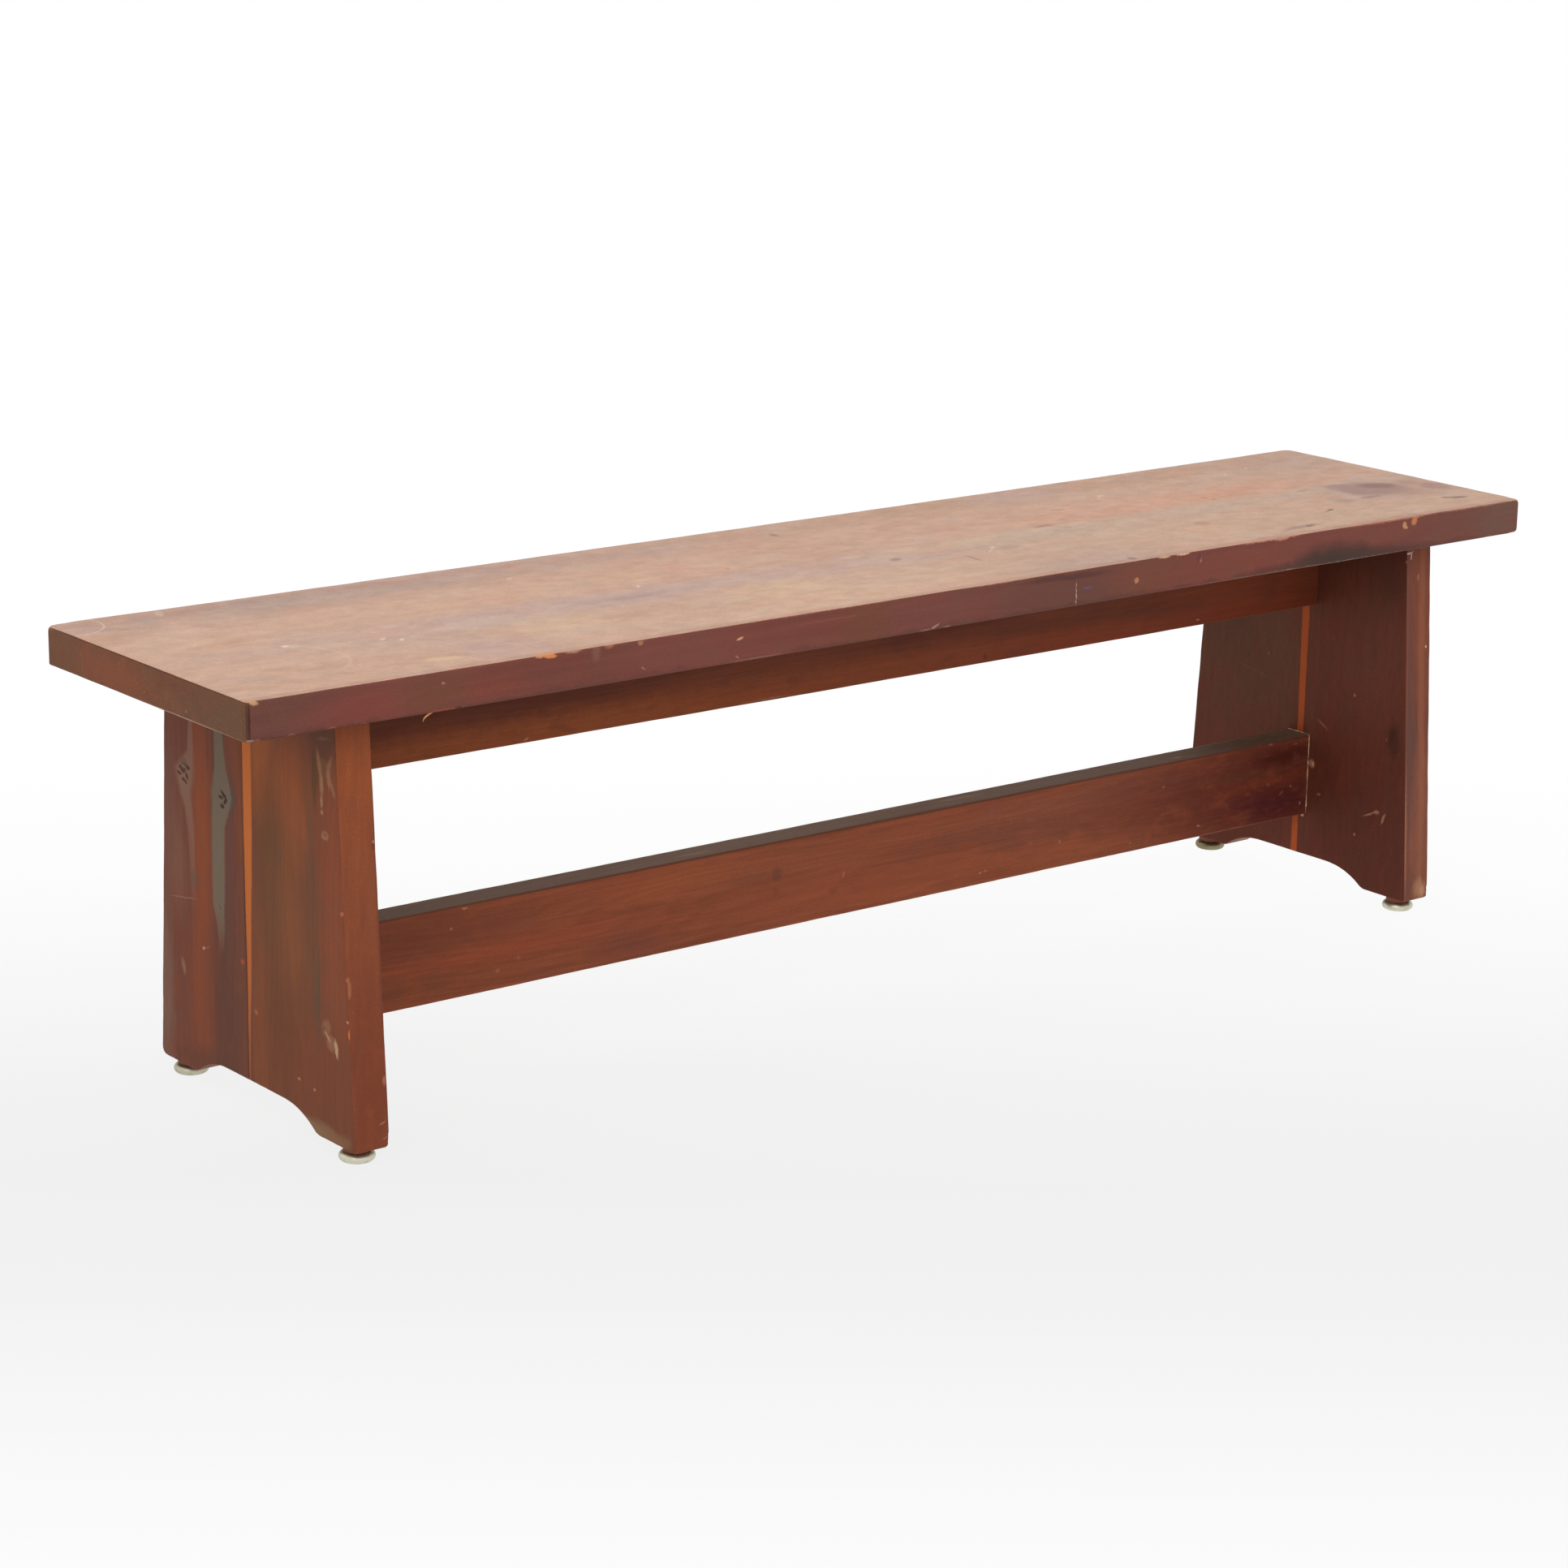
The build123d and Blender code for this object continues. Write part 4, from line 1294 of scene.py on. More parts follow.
@dataclass
class EndPanel:
    """One plank end: two boards, wider at the floor, with a low arch between its feet."""

    sizes: Sizes
    side: str
    seam: float
    top_half_width: float = 154.5
    foot_half_width: float = 179.5
    arris: float = 2.0
    foot_radii: tuple[float, float] = (3.5, 8.0)  # front and back
    arch_rise: float = 19.0
    arch_flat: float = 54.0
    arch_radius: float = 95.0
    edge_band: float = 9.0
    arch_blend: float = 160.0
    back: float = 182.0  # where the wide faces' own coordinates start
    level: float = 425.0

    @property
    def direction(self) -> int:
        """-1 for the left end, 1 for the right."""
        return -1 if self.side == "left" else 1

    def arch_height(self, y: np.ndarray) -> np.ndarray:
        """How far the arch lifts the panel's bottom edge above its feet, at each place across it."""
        beyond = np.clip(np.abs(y) - self.arch_flat, 0, self.arch_radius)
        return np.clip(np.sqrt(self.arch_radius**2 - beyond**2) - self.arch_radius + self.arch_rise, 0, None)

    def shaped(self, points: np.ndarray) -> np.ndarray:
        """Flares a board towards the floor, cuts the arch and follows the seat's sag.

        Args:
            points: points of a board as wide as its foot, in its box.

        Returns:
            The shaped points.
        """
        sizes = self.sizes
        x, y, z = points.T
        height = sizes.underside - sizes.foot
        narrowing = (self.foot_half_width - self.top_half_width) * (z - sizes.foot) / height
        outer = np.sign(y - self.seam)
        span = self.foot_half_width - outer * self.seam
        share = np.clip(np.abs(y - self.seam) / (span - self.edge_band), 0, 1)
        new_y = y - outer * narrowing * share
        lift_share = np.clip(1 - (z - sizes.foot - self.edge_band) / self.arch_blend, 0, 1)
        new_z = z + self.arch_height(new_y) * lift_share
        new_z -= sizes.sagged(x, new_y) * (z - sizes.foot) / height
        return np.stack([x, new_y, new_z], axis=1)

    def worn_toe(self) -> Chip:
        """The front foot's right-hand corner, rubbed round by floors and shoes."""
        x = -self.sizes.inner_x if self.side == "left" else self.sizes.outer_x
        return Chip((x, -self.foot_half_width, self.sizes.foot), 15.0, 3.0)

    def wide_sheet(self) -> Sheet:
        """The panel's wide face, from its back top corner, along it towards the front."""
        return Sheet(1, self.back, -1, 2, self.level, -1)

    def edge_sheet(self) -> Sheet:
        """The panel's narrow edge: along its thickness from its left arris, and down from the seat."""
        start = -self.sizes.outer_x if self.side == "left" else self.sizes.inner_x
        return Sheet(0, start, 1, 2, self.level, -1)

    def wide_edges(self, recipe: Recipe, where: Where) -> Signal:
        """How far a point of the wide face lies in from the panel's front or back edge."""
        slope = (self.foot_half_width - self.top_half_width) / (self.sizes.underside - self.sizes.foot)
        half_width = self.top_half_width + (self.sizes.underside - where[2]) * slope
        return (half_width - abs(where[1])).least(where[2] - self.sizes.foot + 1.0)

    def narrow_edges(self, recipe: Recipe, where: Where) -> Signal:
        """How far a point of a narrow edge lies in from the panel's wide faces."""
        middle = self.direction * (self.sizes.inner_x + self.sizes.outer_x) / 2
        half = (self.sizes.outer_x - self.sizes.inner_x) / 2
        return half - abs(where[0] - middle)

    def left_outer_face(self) -> StainedWood:
        """The left panel's outer face: red stain, two grey streaks with knots, an orange stripe, and painted
        shadow under the seat along its top.
        """
        grey, violet, orange = 0x6E6359, 0x86655A, 0xBE6A34
        fields = patches(
            (60, 230, 150, 700, 0x6C3E34), (92, 175, 32, 330, 0x88462C, 0.9),
            (88, 320, 44, 160, 0x7E422D, 0.9), (152, 85, 26, 130, 0x84442E, 0.8),
            (150, 205, 34, 150, 0x683C36, 0.9), (28, 150, 36, 150, 0x704A43, 0.8),
            (14, 330, 30, 190, 0x76564E, 0.95), (45, 205, 30, 90, 0x7A5248),
            (138, 330, 66, 180, 0x5C3932, 0.95), (110, 396, 130, 30, 0x583830, 0.6),
            (270, 200, 190, 700, 0x724432, 0.9), (252, 245, 110, 190, 0x6E4632),
            (205, 66, 40, 100, 0x98562E, 0.95), (250, 90, 80, 110, 0x985432, 0.8),
            (222, 160, 46, 150, 0x6A452F, 0.95), (215, 250, 40, 110, 0x6C4430, 0.8),
            (255, 210, 40, 180, 0x7E4C32, 0.8), (330, 170, 44, 330, 0x844732, 0.85),
            (325, 350, 60, 110, 0x704030), (196, 330, 26, 170, 0x7E482E, 0.8),
            (235, 330, 60, 120, 0x6A3E2C, 0.8), (290, 345, 80, 110, 0x74402E),
            # painted shadow of the seat's overhang, along the top of the face
            (318, 16, 60, 22, 0x54382E, 0.6), (230, 14, 110, 18, 0x6A422E, 0.6),
            Streak(((60, 287, 8, 0.0), (95, 290, 10, 0.4), (240, 296, 11, 0.4), (262, 298, 12, 0.8),
                    (290, 299, 11, 0.75), (330, 302, 8, 0.0)), 0x60483A, True, 1.0),
        )
        traces = marks(
            Streak(((10, 127, 12, 0.9), (54, 127, 16, 0.92), (89, 130, 20, 0.95), (106, 132, 33, 0.95),
                    (117, 134, 42, 0.95), (128, 130, 32, 0.95), (146, 124, 24, 0.95), (200, 122.5, 23, 0.92),
                    (228, 121.5, 21, 0.88), (249, 125, 14, 0.6), (275, 125, 8, 0.0)),
                   grey, True, 0.45, CLEAN),
            Streak(((40, 142, 8, 0.0), (85, 147, 10, 0.5), (117, 155, 9, 0.8), (140, 146, 9, 0.5),
                    (250, 138, 9, 0.4), (290, 136, 9, 0.0)), 0x544242, True, 1.0, CLEAN),
            Streak(((10, 74, 5, 0.5), (54, 75, 7, 0.6), (86, 74, 12, 0.65), (98, 67, 25, 0.75),
                    (107, 62, 33, 0.8), (117, 62, 28, 0.8), (130, 63, 20, 0.72), (143, 68, 15, 0.66),
                    (165, 72, 12, 0.55), (204, 73, 9, 0.4), (250, 74, 7, 0.0)),
                   violet, True, 1.0, CLEAN),
            Streak(((0, 178.5, 17, 1.0), (90, 178.6, 17, 1.0), (143, 178.4, 15.6, 0.95),
                    (186, 177.6, 13, 0.88), (229, 177, 9.4, 0.84), (286, 176.2, 6.6, 0.72),
                    (329, 174.6, 4.4, 0.55), (371, 173.8, 2.8, 0.38), (410, 173.5, 2, 0.2)),
                   orange, True, 0.4, STRAIGHT),
            Streak(((0, 170.4, 2.2, 0.8), (420, 171.2, 2.0, 0.7)), 0x542C22, True, 1.0, STRAIGHT),
            *knot(134, 118.6, ((1.9, -3.6, 13, 3.6, 32), (4.6, 2.2, 8.5, 4, 139), (-1.2, 8.2, 7, 5, 10),
                               (-3.6, 0, 9, 3.4, 5)), 0x3C2824, 0.95),
            *knot(61, 109, ((-2, -2, 8, 5, 20), (8, -6, 7, 4.5, 0), (5.6, 3, 8, 4, 60),
                            (-1.4, 7, 5.5, 3.6, 0), (1, -8.5, 9, 3, 10), (-6.5, -4.5, 6, 3, -40),
                            (3, 9, 6, 3, 40), (2.5, -3, 5, 2.6, 80), (-8.5, 2.4, 8, 3, 10)), 0x422824, 0.9),
            (61, 98, 14, 8, 0x685046, 0.7, 0, 0.9),
            *knot(124, 228, ((-1, -1, 7, 2, 30), (1, 2, 4, 2, 0)), 0x584840, 0.7),
            (54, 236, 46, 1.3, 0x966C5E, 0.6, -9), (91, 278, 4.4, 3.4, 0xC89C88, 0.7, -20),
            (97, 276, 12, 1.2, 0xAA7864, 0.4, -24), (51, 306, 7, 16, 0x8E6A60, 0.6, -20, 1.1),
            (164, 273, 6, 5, 0xB84E3C, 0.6, 0, 1.1), (187, 317, 5, 5, 0xB06C4A, 0.55, 0, 1.1),
            (264, 362, 4, 2.6, 0xB48670, 0.6), (291, 365, 3.5, 3, 0xC48260, 0.7, 0, 0.9),
            (300, 60, 9, 56, 0x58402A, 0.75, 0, 1, STREAKED),
            (318, 31, 36, 32, 0x623C30, 0.75, 0, 1.2, CLOUDED), (316, 22, 20, 3, 0x7C5C50, 0.5, -10),
            (318, 50, 20, 18, 0x764E34, 0.8, 0, 0.9), (309, 48, 6.5, 26, 0x946A50, 0.75, -13, 0.9),
            (312.4, 66, 6, 18, 0x9C745A, 0.75, -4, 0.9), (312, 82, 4, 12, 0xA27C62, 0.7, 0, 0.9),
            (312.6, 92, 5, 4, 0xAA826A, 0.6, 0, 0.9), (326, 46, 6, 20, 0x92664E, 0.7, 24, 0.9),
            (325, 59, 5.5, 16, 0x9A7056, 0.7, -6, 0.9), (331, 66, 5, 16, 0x966A50, 0.6, -24, 0.9),
            (317, 113, 12, 8, 0x9E745E, 0.6, -10, 0.8), (317.5, 112, 6, 3.6, 0x7C4A38, 0.8, 0, 0.8),
            (314, 298, 13, 17, 0x8A624E, 0.7, 30, 0.9), (310, 300, 4, 5, 0x6E3E2E, 0.8, 0, 0.8),
            (322, 311, 16, 15, 0x8A6450, 0.75, 30, 0.8), (316, 306, 14, 3, 0xAA8872, 0.7, 40, 0.8),
            (331, 314, 5.5, 17, 0xB89680, 0.85, -12, 0.8),
            (354.5, 294, 6, 10, 0xC67444, 0.85, 0, 0.8, CLEAN, 0.2), (355, 302, 2, 8, 0xB46640, 0.5),
            (350.8, 283, 3.4, 2.6, 0xBE9480), (351, 243, 4.4, 3.4, 0xBC765C, 0.65, 0, 0.9),
            (344, 181, 5, 4, 0xB4705C, 0.7, 0, 0.9), (350, 141, 3, 4, 0xB06E5A, 0.6, 0, 0.9),
            (351, 117, 4, 5, 0xB0725A, 0.6, 0, 0.9), (288, 402, 44, 10, 0x846852, 0.65, 12, 1.1),
            (312, 402, 54, 16, 0x846852, 0.65, 6, 1.1), (342, 402, 24, 12, 0x80624C, 0.5, -8, 1.2),
            (75, 212, 12, 14, 0x604E44, 0.6, 0, 1.1), (130, 45, 8, 5, 0xC49680, 0.5),
        )
        timber = Timber(2, (-1000.0, 120.0), seed=4.0, ring_contrast=0.06, fibre_contrast=0.15,
                        band_width=9.0)
        return StainedWood("left_panel_outer_stain_and_shade", timber, self.wide_sheet(), 0x7A4432, 0x683A2E,
                           0x86462E, 0x664038, fields=fields, traces=traces, cloud_size=14.0,
                           cloud_depth=0.08, tint=0.22, dust=0xA06E5A, dust_strength=0.3,
                           balance=(0.9, 0.85, 0.7),
                           wear=Wear(self.wide_edges, 0x92523A, 0xBA7650, 1.6, 0.25, 50.0))

    def right_inner_face(self) -> StainedWood:
        """The right panel's inner face: set darker than the other faces with painted shade from the seat and
        rail, darkest along its top under the seat; browner at the back, with a narrow orange stripe.
        """
        orange, pale = 0x8E4822, 0xA07A6C
        fields = patches(
            # painted shade: the whole face darker than the panel's other faces, and darkest along its top
            # under the seat
            (90, 170, 190, 360, 0x543A2E, 0.9), (60, 110, 90, 110, 0x4A362D, 0.6),
            (150, 120, 60, 140, 0x563C2E, 0.6), (90, 330, 190, 160, 0x563028, 0.85),
            (230, 150, 90, 260, 0x553127, 0.8), (290, 300, 150, 260, 0x4A2921, 0.8),
            (300, 110, 110, 220, 0x56342B, 0.8), (240, 320, 60, 120, 0x4A2820),
            (325, 50, 60, 60, 0x422C26, 0.6), (332, 226, 16, 34, 0x36221C, 0.9),
            (220, 16, 200, 50, 0x38241E, 0.5),
        )
        traces = marks(
            Streak(((0, 186, 11, 0.9), (110, 186, 11, 0.95), (230, 186, 9.5, 0.95), (300, 185, 9, 0.9),
                    (372, 184.5, 9.5, 0.9), (420, 184.5, 9.5, 0.85)), orange, True, 0.35, STRAIGHT),
            (207, 280, 9, 9, pale, 0.55, 20, 0.9), (209, 280, 4, 4, 0xB08C78, 0.7, 0, 0.9),
            (202, 78, 1.6, 30, 0x967464, 0.5), (303, 318, 24, 2, pale, 0.5, -24),
            (312, 314, 8, 5, 0x967062, 0.5), (322, 320, 3, 13, pale, 0.55, 24),
            (321, 228, 3, 4, 0x6E5046, 0.5), (221, 231, 18, 3, 0x825C4E, 0.45, 28),
            (268, 187, 3.4, 3, 0x926C5C, 0.6), (279, 348, 3.4, 3, 0x966E5C, 0.6),
            (220, 314, 5, 3, 0x8C6454, 0.5), (232, 128, 5, 1.6, 0x785448, 0.4, 70),
            (110, 190, 60, 1.2, 0x6C5248, 0.3, 8), (130, 165, 4, 3, 0x785C4E, 0.5),
            (196, 344, 6, 3, 0xC4A08C, 0.6, 0, 0.9), (340, 20, 10, 4, 0x968070, 0.5, -30, 0.9),
        )
        timber = Timber(2, (1100.0, 120.0), seed=6.0, ring_contrast=0.04, fibre_contrast=0.1, band_width=12.0)
        # dark tones: the stain with painted shade
        return StainedWood("right_panel_inner_stain_and_shade", timber, self.wide_sheet(), 0x543028, 0x4A2B24,
                           0x5A2E26, 0x4A342C, fields=fields, traces=traces, cloud_size=24.0,
                           cloud_depth=0.2, tint=0.4, speckle=0.4, mottle_size=(20.0, 8.0),
                           dust=0x8C685A, dust_strength=0.25, balance=(1.2, 0.94, 0.77),
                           wear=Wear(self.wide_edges, 0x784232, 0xA0644A, 1.6, 0.35, 50.0))

    def unseen_face(self) -> StainedWood:
        """The wide face that the photograph doesn't show: the same stain and stripe, with a few scuffs."""
        seam = self.back - self.seam
        traces = marks(
            Streak(((0, seam - 7, 13, 0.9), (220, seam - 6, 10, 0.85), (420, seam - 3, 5, 0.6)),
                   0xA0562A, True, 0.4, STRAIGHT),
            (80, 330, 40, 3, 0xA06E58, 0.5, 12), (270, 352, 30, 3, 0xA06E58, 0.5, -8),
            (300, 240, 8, 5, 0xAA765C, 0.5),
        )
        fields = patches(
            (90, 200, 120, 420, 0x6A3C30), (270, 120, 120, 240, 0x76422E), (250, 340, 160, 120, 0x623A30),
        )
        timber = Timber(2, (self.direction * 800.0, 60.0), seed=8.0 + self.direction)
        return StainedWood(f"{self.side}_panel_unseen_stain", timber, self.wide_sheet(), 0x744030,
                           0x62362A, 0x7E422C, 0x623E36, fields=fields, traces=traces,
                           cloud_size=26.0, balance=(0.92, 0.86, 0.8),
                           wear=Wear(self.wide_edges, 0x96543A, 0xBE7850, 1.6, 0.4, 50.0))

    def narrow_face(self) -> StainedWood:
        """The panel's narrow front and back edges, more orange than its wide faces."""
        if self.side == "left":
            light, dark, warm, cool = 0x864C34, 0x7A4430, 0x945032, 0x724438
            fields = patches(
                (24, 50, 60, 130, 0x8E4E30), (20, 190, 60, 150, 0x824A34, 0.6),
                (20, 350, 60, 230, 0x763F2E, 0.85),
            )
            traces = marks(
                (35, 120, 5, 10, 0x60382A, 0.5), (36, 118, 4, 4, 0xBE8262, 0.7, 0, 0.6),
                (35, 344, 3.4, 9, 0xB47E60, 0.5), (31, 384, 8, 1.2, 0xB8866E, 0.5, -20),
                (33, 399, 6, 1.2, 0xB8866E, 0.5, -24), (2, 250, 5, 20, 0xB07658, 0.4, 0, 0.6),
                (36.5, 200, 3, 300, 0x60362A, 0.45, 0, 1.2),
            )
            seed = 5.0
        else:
            light, dark, warm, cool = 0x78483A, 0x6C4036, 0x7E4836, 0x64443C
            fields = patches(
                (20, 60, 60, 160, 0x7A4636, 0.6), (8, 240, 16, 150, 0x58423C),
                (24, 330, 40, 150, 0x845444, 0.6),
            )
            traces = marks(
                (31, 120, 2.5, 3, 0xD8BEAE, 0.8, 0, 0.6), (1, 13, 16, 1.8, 0xD8CABE, 0.95, -12, 0.8),
                (7, 15.5, 1.8, 7, 0xDACCC0, 0.95, 10, 0.8),
                Streak(((0, 5, 6, 0.3), (60, 5, 8, 0.6), (200, 6, 9, 0.7), (330, 5, 7, 0.6),
                        (400, 5, 6, 0.3)), 0x62423E, True, 1.2),
                Streak(((0, 25, 8, 0.3), (120, 24, 10, 0.5), (260, 26, 9, 0.5), (400, 24, 8, 0.4)),
                       0x925C46, True, 1.3),
                (18, 40, 4, 8, 0x966E5C, 0.5, 0, 0.6), (24, 396, 18, 20, 0xAA8266, 0.5, 0, 1.2, STREAKED),
                (29, 400, 8, 12, 0xB88E70, 0.5, 0, 1.2), (1.5, 330, 3, 130, 0xA67662, 0.4, 0, 1.2),
                (1.5, 120, 3, 200, 0x825446, 0.3, 0, 1.2),
            )
            seed = 7.0
        timber = Timber(2, (self.direction * 760.0, 40.0), seed=seed, ring_contrast=0.05, fibre_contrast=0.09,
                        band_width=8.0)
        return StainedWood(f"{self.side}_panel_edge_stain", timber, self.edge_sheet(), light, dark, warm,
                           cool, fields=fields, traces=traces, cloud_size=18.0, cloud_depth=0.05,
                           balance=(0.96, 0.89, 0.8),
                           wear=Wear(self.narrow_edges, 0x9A5C42, 0xBE7E5C, 1.5, 0.28, 36.0))

    def build(self) -> None:
        """Builds both boards."""
        edge, unseen = self.narrow_face().material(), self.unseen_face().material()
        if self.side == "left":
            wide = (self.left_outer_face().material(), unseen)
        else:
            wide = (self.right_inner_face().material(), unseen)
        faces = [*wide, edge, edge, edge, edge]
        for board, glued_end, outer_end in (("front", 1, 0), ("back", 0, 1)):
            node = f"{self.side}_panel_{board}_board"
            plank = Plank(node + "_worn", (node,), "panel_wood", 0, (self.arris, self.arris),
                          glued=((1, glued_end), (2, 1)),
                          corners={(outer_end, 0): self.foot_radii[outer_end]},
                          chips=(self.worn_toe(),) if outer_end == 0 else (), cell=(6.0, 5.0, 8.0),
                          seam_groove=0.15, seed=41 + self.direction, shape=self.shaped)
            plank.build(faces)


@dataclass
class CrossPieces:
    """The top rail with its counterbores, the stretcher, and the glue squeezed out at its right end."""

    sizes: Sizes
    rail_arris: float = 1.2
    stretcher_arris: float = 1.5
    rail_height: float = 94.0
    left: float = -673.0  # where the faces' own coordinates start
    rail_level: float = 425.0
    stretcher_level: float = 178.0
    stretcher_back: float = 17.0
    bore_radius: float = 7.0
    bore_depth: float = 49.0
    bore_shares: tuple[float, ...] = (-0.86, -0.30, 0.30, 0.86)

    BORE_SIDES = 40
    BORE_START = 6.0  # how far below the rail the cutter starts
    BEAD_INSET = 0.35

    def rail_edges(self, recipe: Recipe, where: Where) -> Signal:
        """How far a point of the rail lies above its underside."""
        return where[2] - (self.sizes.underside - self.rail_height) + 0.4

    def rail_face(self) -> StainedWood:
        """The rail: painted shade darkens it under the seat, and painted light and rubbing make its lower
        edge a warm orange-brown.
        """
        fields = patches(
            # painted shade in the dark band high up under the seat, and painted light in the warm bands along
            # the lower edge
            (260, 32, 700, 44, 0x562F22, 0.75), (300, 86, 900, 32, 0x8C4D2E, 0.85),
            (720, 82, 500, 30, 0x80422A), (560, 60, 240, 34, 0x74402D, 0.5), (1020, 88, 300, 26, 0x803C28),
            (1240, 50, 260, 110, 0x723926, 0.85), (1250, 84, 220, 20, 0x743422, 0.6),
            (1000, 40, 260, 40, 0x6E3A2A, 0.6),
        )
        traces = marks(
            (262, 91, 6, 1.8, 0xBE9270, 0.4, -20), (560, 92.5, 60, 1.4, 0x966E54, 0.5),
            (1160, 88, 5, 2, 0xB08064, 0.5), (850, 88, 6, 5, 0x46241A, 0.5),
        )
        timber = Timber(0, (300.0, -80.0), seed=6.1, ring_contrast=0.06, fibre_contrast=0.24, band_width=8.0)
        return StainedWood("top_rail_stain_and_shade", timber, Sheet(0, self.left, 1, 2, self.rail_level, -1), 0x683828,
                           0x5C3024, 0x723C28, 0x58322A, fields=fields, traces=traces,
                           cloud_size=20.0, cloud_depth=0.05, balance=(0.96, 0.9, 0.82),
                           wear=Wear(self.rail_edges, 0xA05C38, 0xBE825A, 1.4, 0.35, 60.0))

    def stretcher_face(self) -> StainedWood:
        """The stretcher's faces: red-brown with fine streaks, much darker towards its right end from stain
        and painted shade, and a painted dark line along the front's top arris.
        """
        fields = patches(
            (150, 26, 200, 50, 0x6C382A, 0.8), (140, 74, 160, 22, 0x6E3C2A, 0.6),
            (230, 54, 300, 20, 0x84402C), (420, 20, 130, 30, 0x8A4830), (400, 78, 100, 22, 0x6C3A30),
            (480, 20, 140, 30, 0x8A4A30, 0.6), (620, 26, 260, 30, 0x844834, 0.6),
            (700, 70, 360, 36, 0x864630), (850, 38, 200, 16, 0x703E32), (900, 20, 220, 24, 0x804838, 0.6),
            (930, 48, 160, 30, 0x6E3E32), (960, 78, 120, 26, 0x884830), (1080, 20, 160, 30, 0x683A32),
            # stain and painted shade: darker towards the right panel
            (1120, 50, 200, 44, 0x6A362A, 0.8), (1270, 50, 280, 140, 0x54241E, 0.9),
            (1290, 75, 120, 36, 0x481C20, 0.85), (1310, 20, 90, 20, 0x421816, 0.8),
            (1240, 32, 120, 12, 0x562E22, 0.6), (1260, 46, 160, 10, 0x682E20),
        )
        traces = marks(
            # painted shade: a dark line along the front's top arris
            (673, 0.8, 1400, 3, 0x422A24, 0.55, 0, 1, STRAIGHT),
            (700, 93.2, 1300, 1.6, 0x96644E, 0.3, 0, 1, STRAIGHT), (190, 4, 6.4, 2.04, 0xBA9686, 0.33),
            (174, 22, 4, 2.55, 0xB0806A, 0.33), (228, 75, 4.8, 4.25, 0xA06C54, 0.3),
            (253, 66, 4.8, 3.4, 0x9C6450, 0.28), (575, 36, 12, 14, 0x58362A, 0.6, 0, 1.1),
            (545, 35, 90, 8, 0x683E30, 0.4, 0, 1.1), (575, 54, 9, 8, 0x683626, 0.4, 0, 1.1),
            (664, 50, 3.2, 7.65, 0xA06C58, 0.3, 10), (650, 66, 12, 8, 0x6A3C2C, 0.5, 0, 1.1),
            (470, 60, 16, 5, 0x7A3820, 0.5, 0, 1.1), (853, 81, 4, 2.21, 0xB47E64, 0.39, -10, 0.9),
            (861, 80, 5.6, 1.7, 0xB07860, 0.33, 0, 0.9), (867, 15, 5, 10, 0x7A464E, 0.5, 0, 1.1),
            (967, 65, 4, 2.55, 0xAA745C, 0.33, 20), (924, 60, 4, 1.7, 0xAA7860, 0.28),
            (1120, 27, 3.2, 2.04, 0xAA7864, 0.33), (1176, 81, 6.4, 2.04, 0xB4846C, 0.33, 5),
            (1072, 84, 4, 2.55, 0xA0705A, 0.28), (1285, 3, 6.4, 1.7, 0xA0867A, 0.28),
            (1325, 8, 4, 2.21, 0x967062, 0.33), (1283, 50, 5.6, 4.25, 0x885446, 0.28, 30, 1.1),
            (1305, 63, 7.2, 2.55, 0x966050, 0.3, -30), (1320, 57, 1.92, 4.25, 0xAA7868, 0.33, -20),
            (1336, 80, 2.4, 4.25, 0xB48C7C, 0.33, 20), (1098, 82, 10, 16, 0x804232, 0.4, 10, 1.2),
            (90.5, 64, 1.92, 18.7, 0xB07C62, 0.28),
        )
        timber = Timber(0, (420.0, -260.0), seed=7.1, ring_contrast=0.07, fibre_contrast=0.26, band_width=6.0)
        sheet = Sheet(0, self.left, 1, 2, self.stretcher_level, -1)
        return StainedWood("stretcher_stain_and_shade", timber, sheet, 0x824532, 0x743D2C, 0x88462E, 0x704036,
                           fields=fields, traces=traces, cloud_size=16.0, cloud_depth=0.04, tint=0.3,
                           mottle_size=(60.0, 7.0), balance=(1.0, 1.0, 0.88))

    def stretcher_top_face(self) -> StainedWood:
        """The stretcher's top: the stain under years of grey dust, scuffed by feet, with a painted dark line
        along its front arris.
        """
        fields = patches(
            (120, 18, 260, 60, 0x786858), (560, 18, 300, 60, 0x827262, 0.6), (1000, 18, 360, 60, 0x78685A),
            (1270, 18, 170, 60, 0x5A483A, 0.85),
        )
        traces = marks(
            # painted shade: a dark line along the front arris
            (673, 35, 1400, 3, 0x4A322A, 0.5, 0, 1, STRAIGHT),
            (700, 2, 1300, 4, 0x8C7A6C, 0.4, 0, 1.1, STRAIGHT), (480, 22, 40, 6, 0x968272, 0.5, 0, 1.1),
            (840, 14, 60, 7, 0x927E70, 0.5, 0, 1.1), (1150, 24, 12, 3, 0xAA9686, 0.5),
        )
        timber = Timber(0, (420.0, -260.0), seed=7.9, fibre_contrast=0.08, band_width=8.0)
        sheet = Sheet(0, self.left, 1, 1, self.stretcher_back, -1)
        return StainedWood("stretcher_top_dust_and_shade", timber, sheet, 0x7E6C5F, 0x746256, 0x826856, 0x72665C,
                           fields=fields, traces=traces, cloud_size=18.0, roughness=0.65,
                           balance=(0.98, 0.86, 0.8))

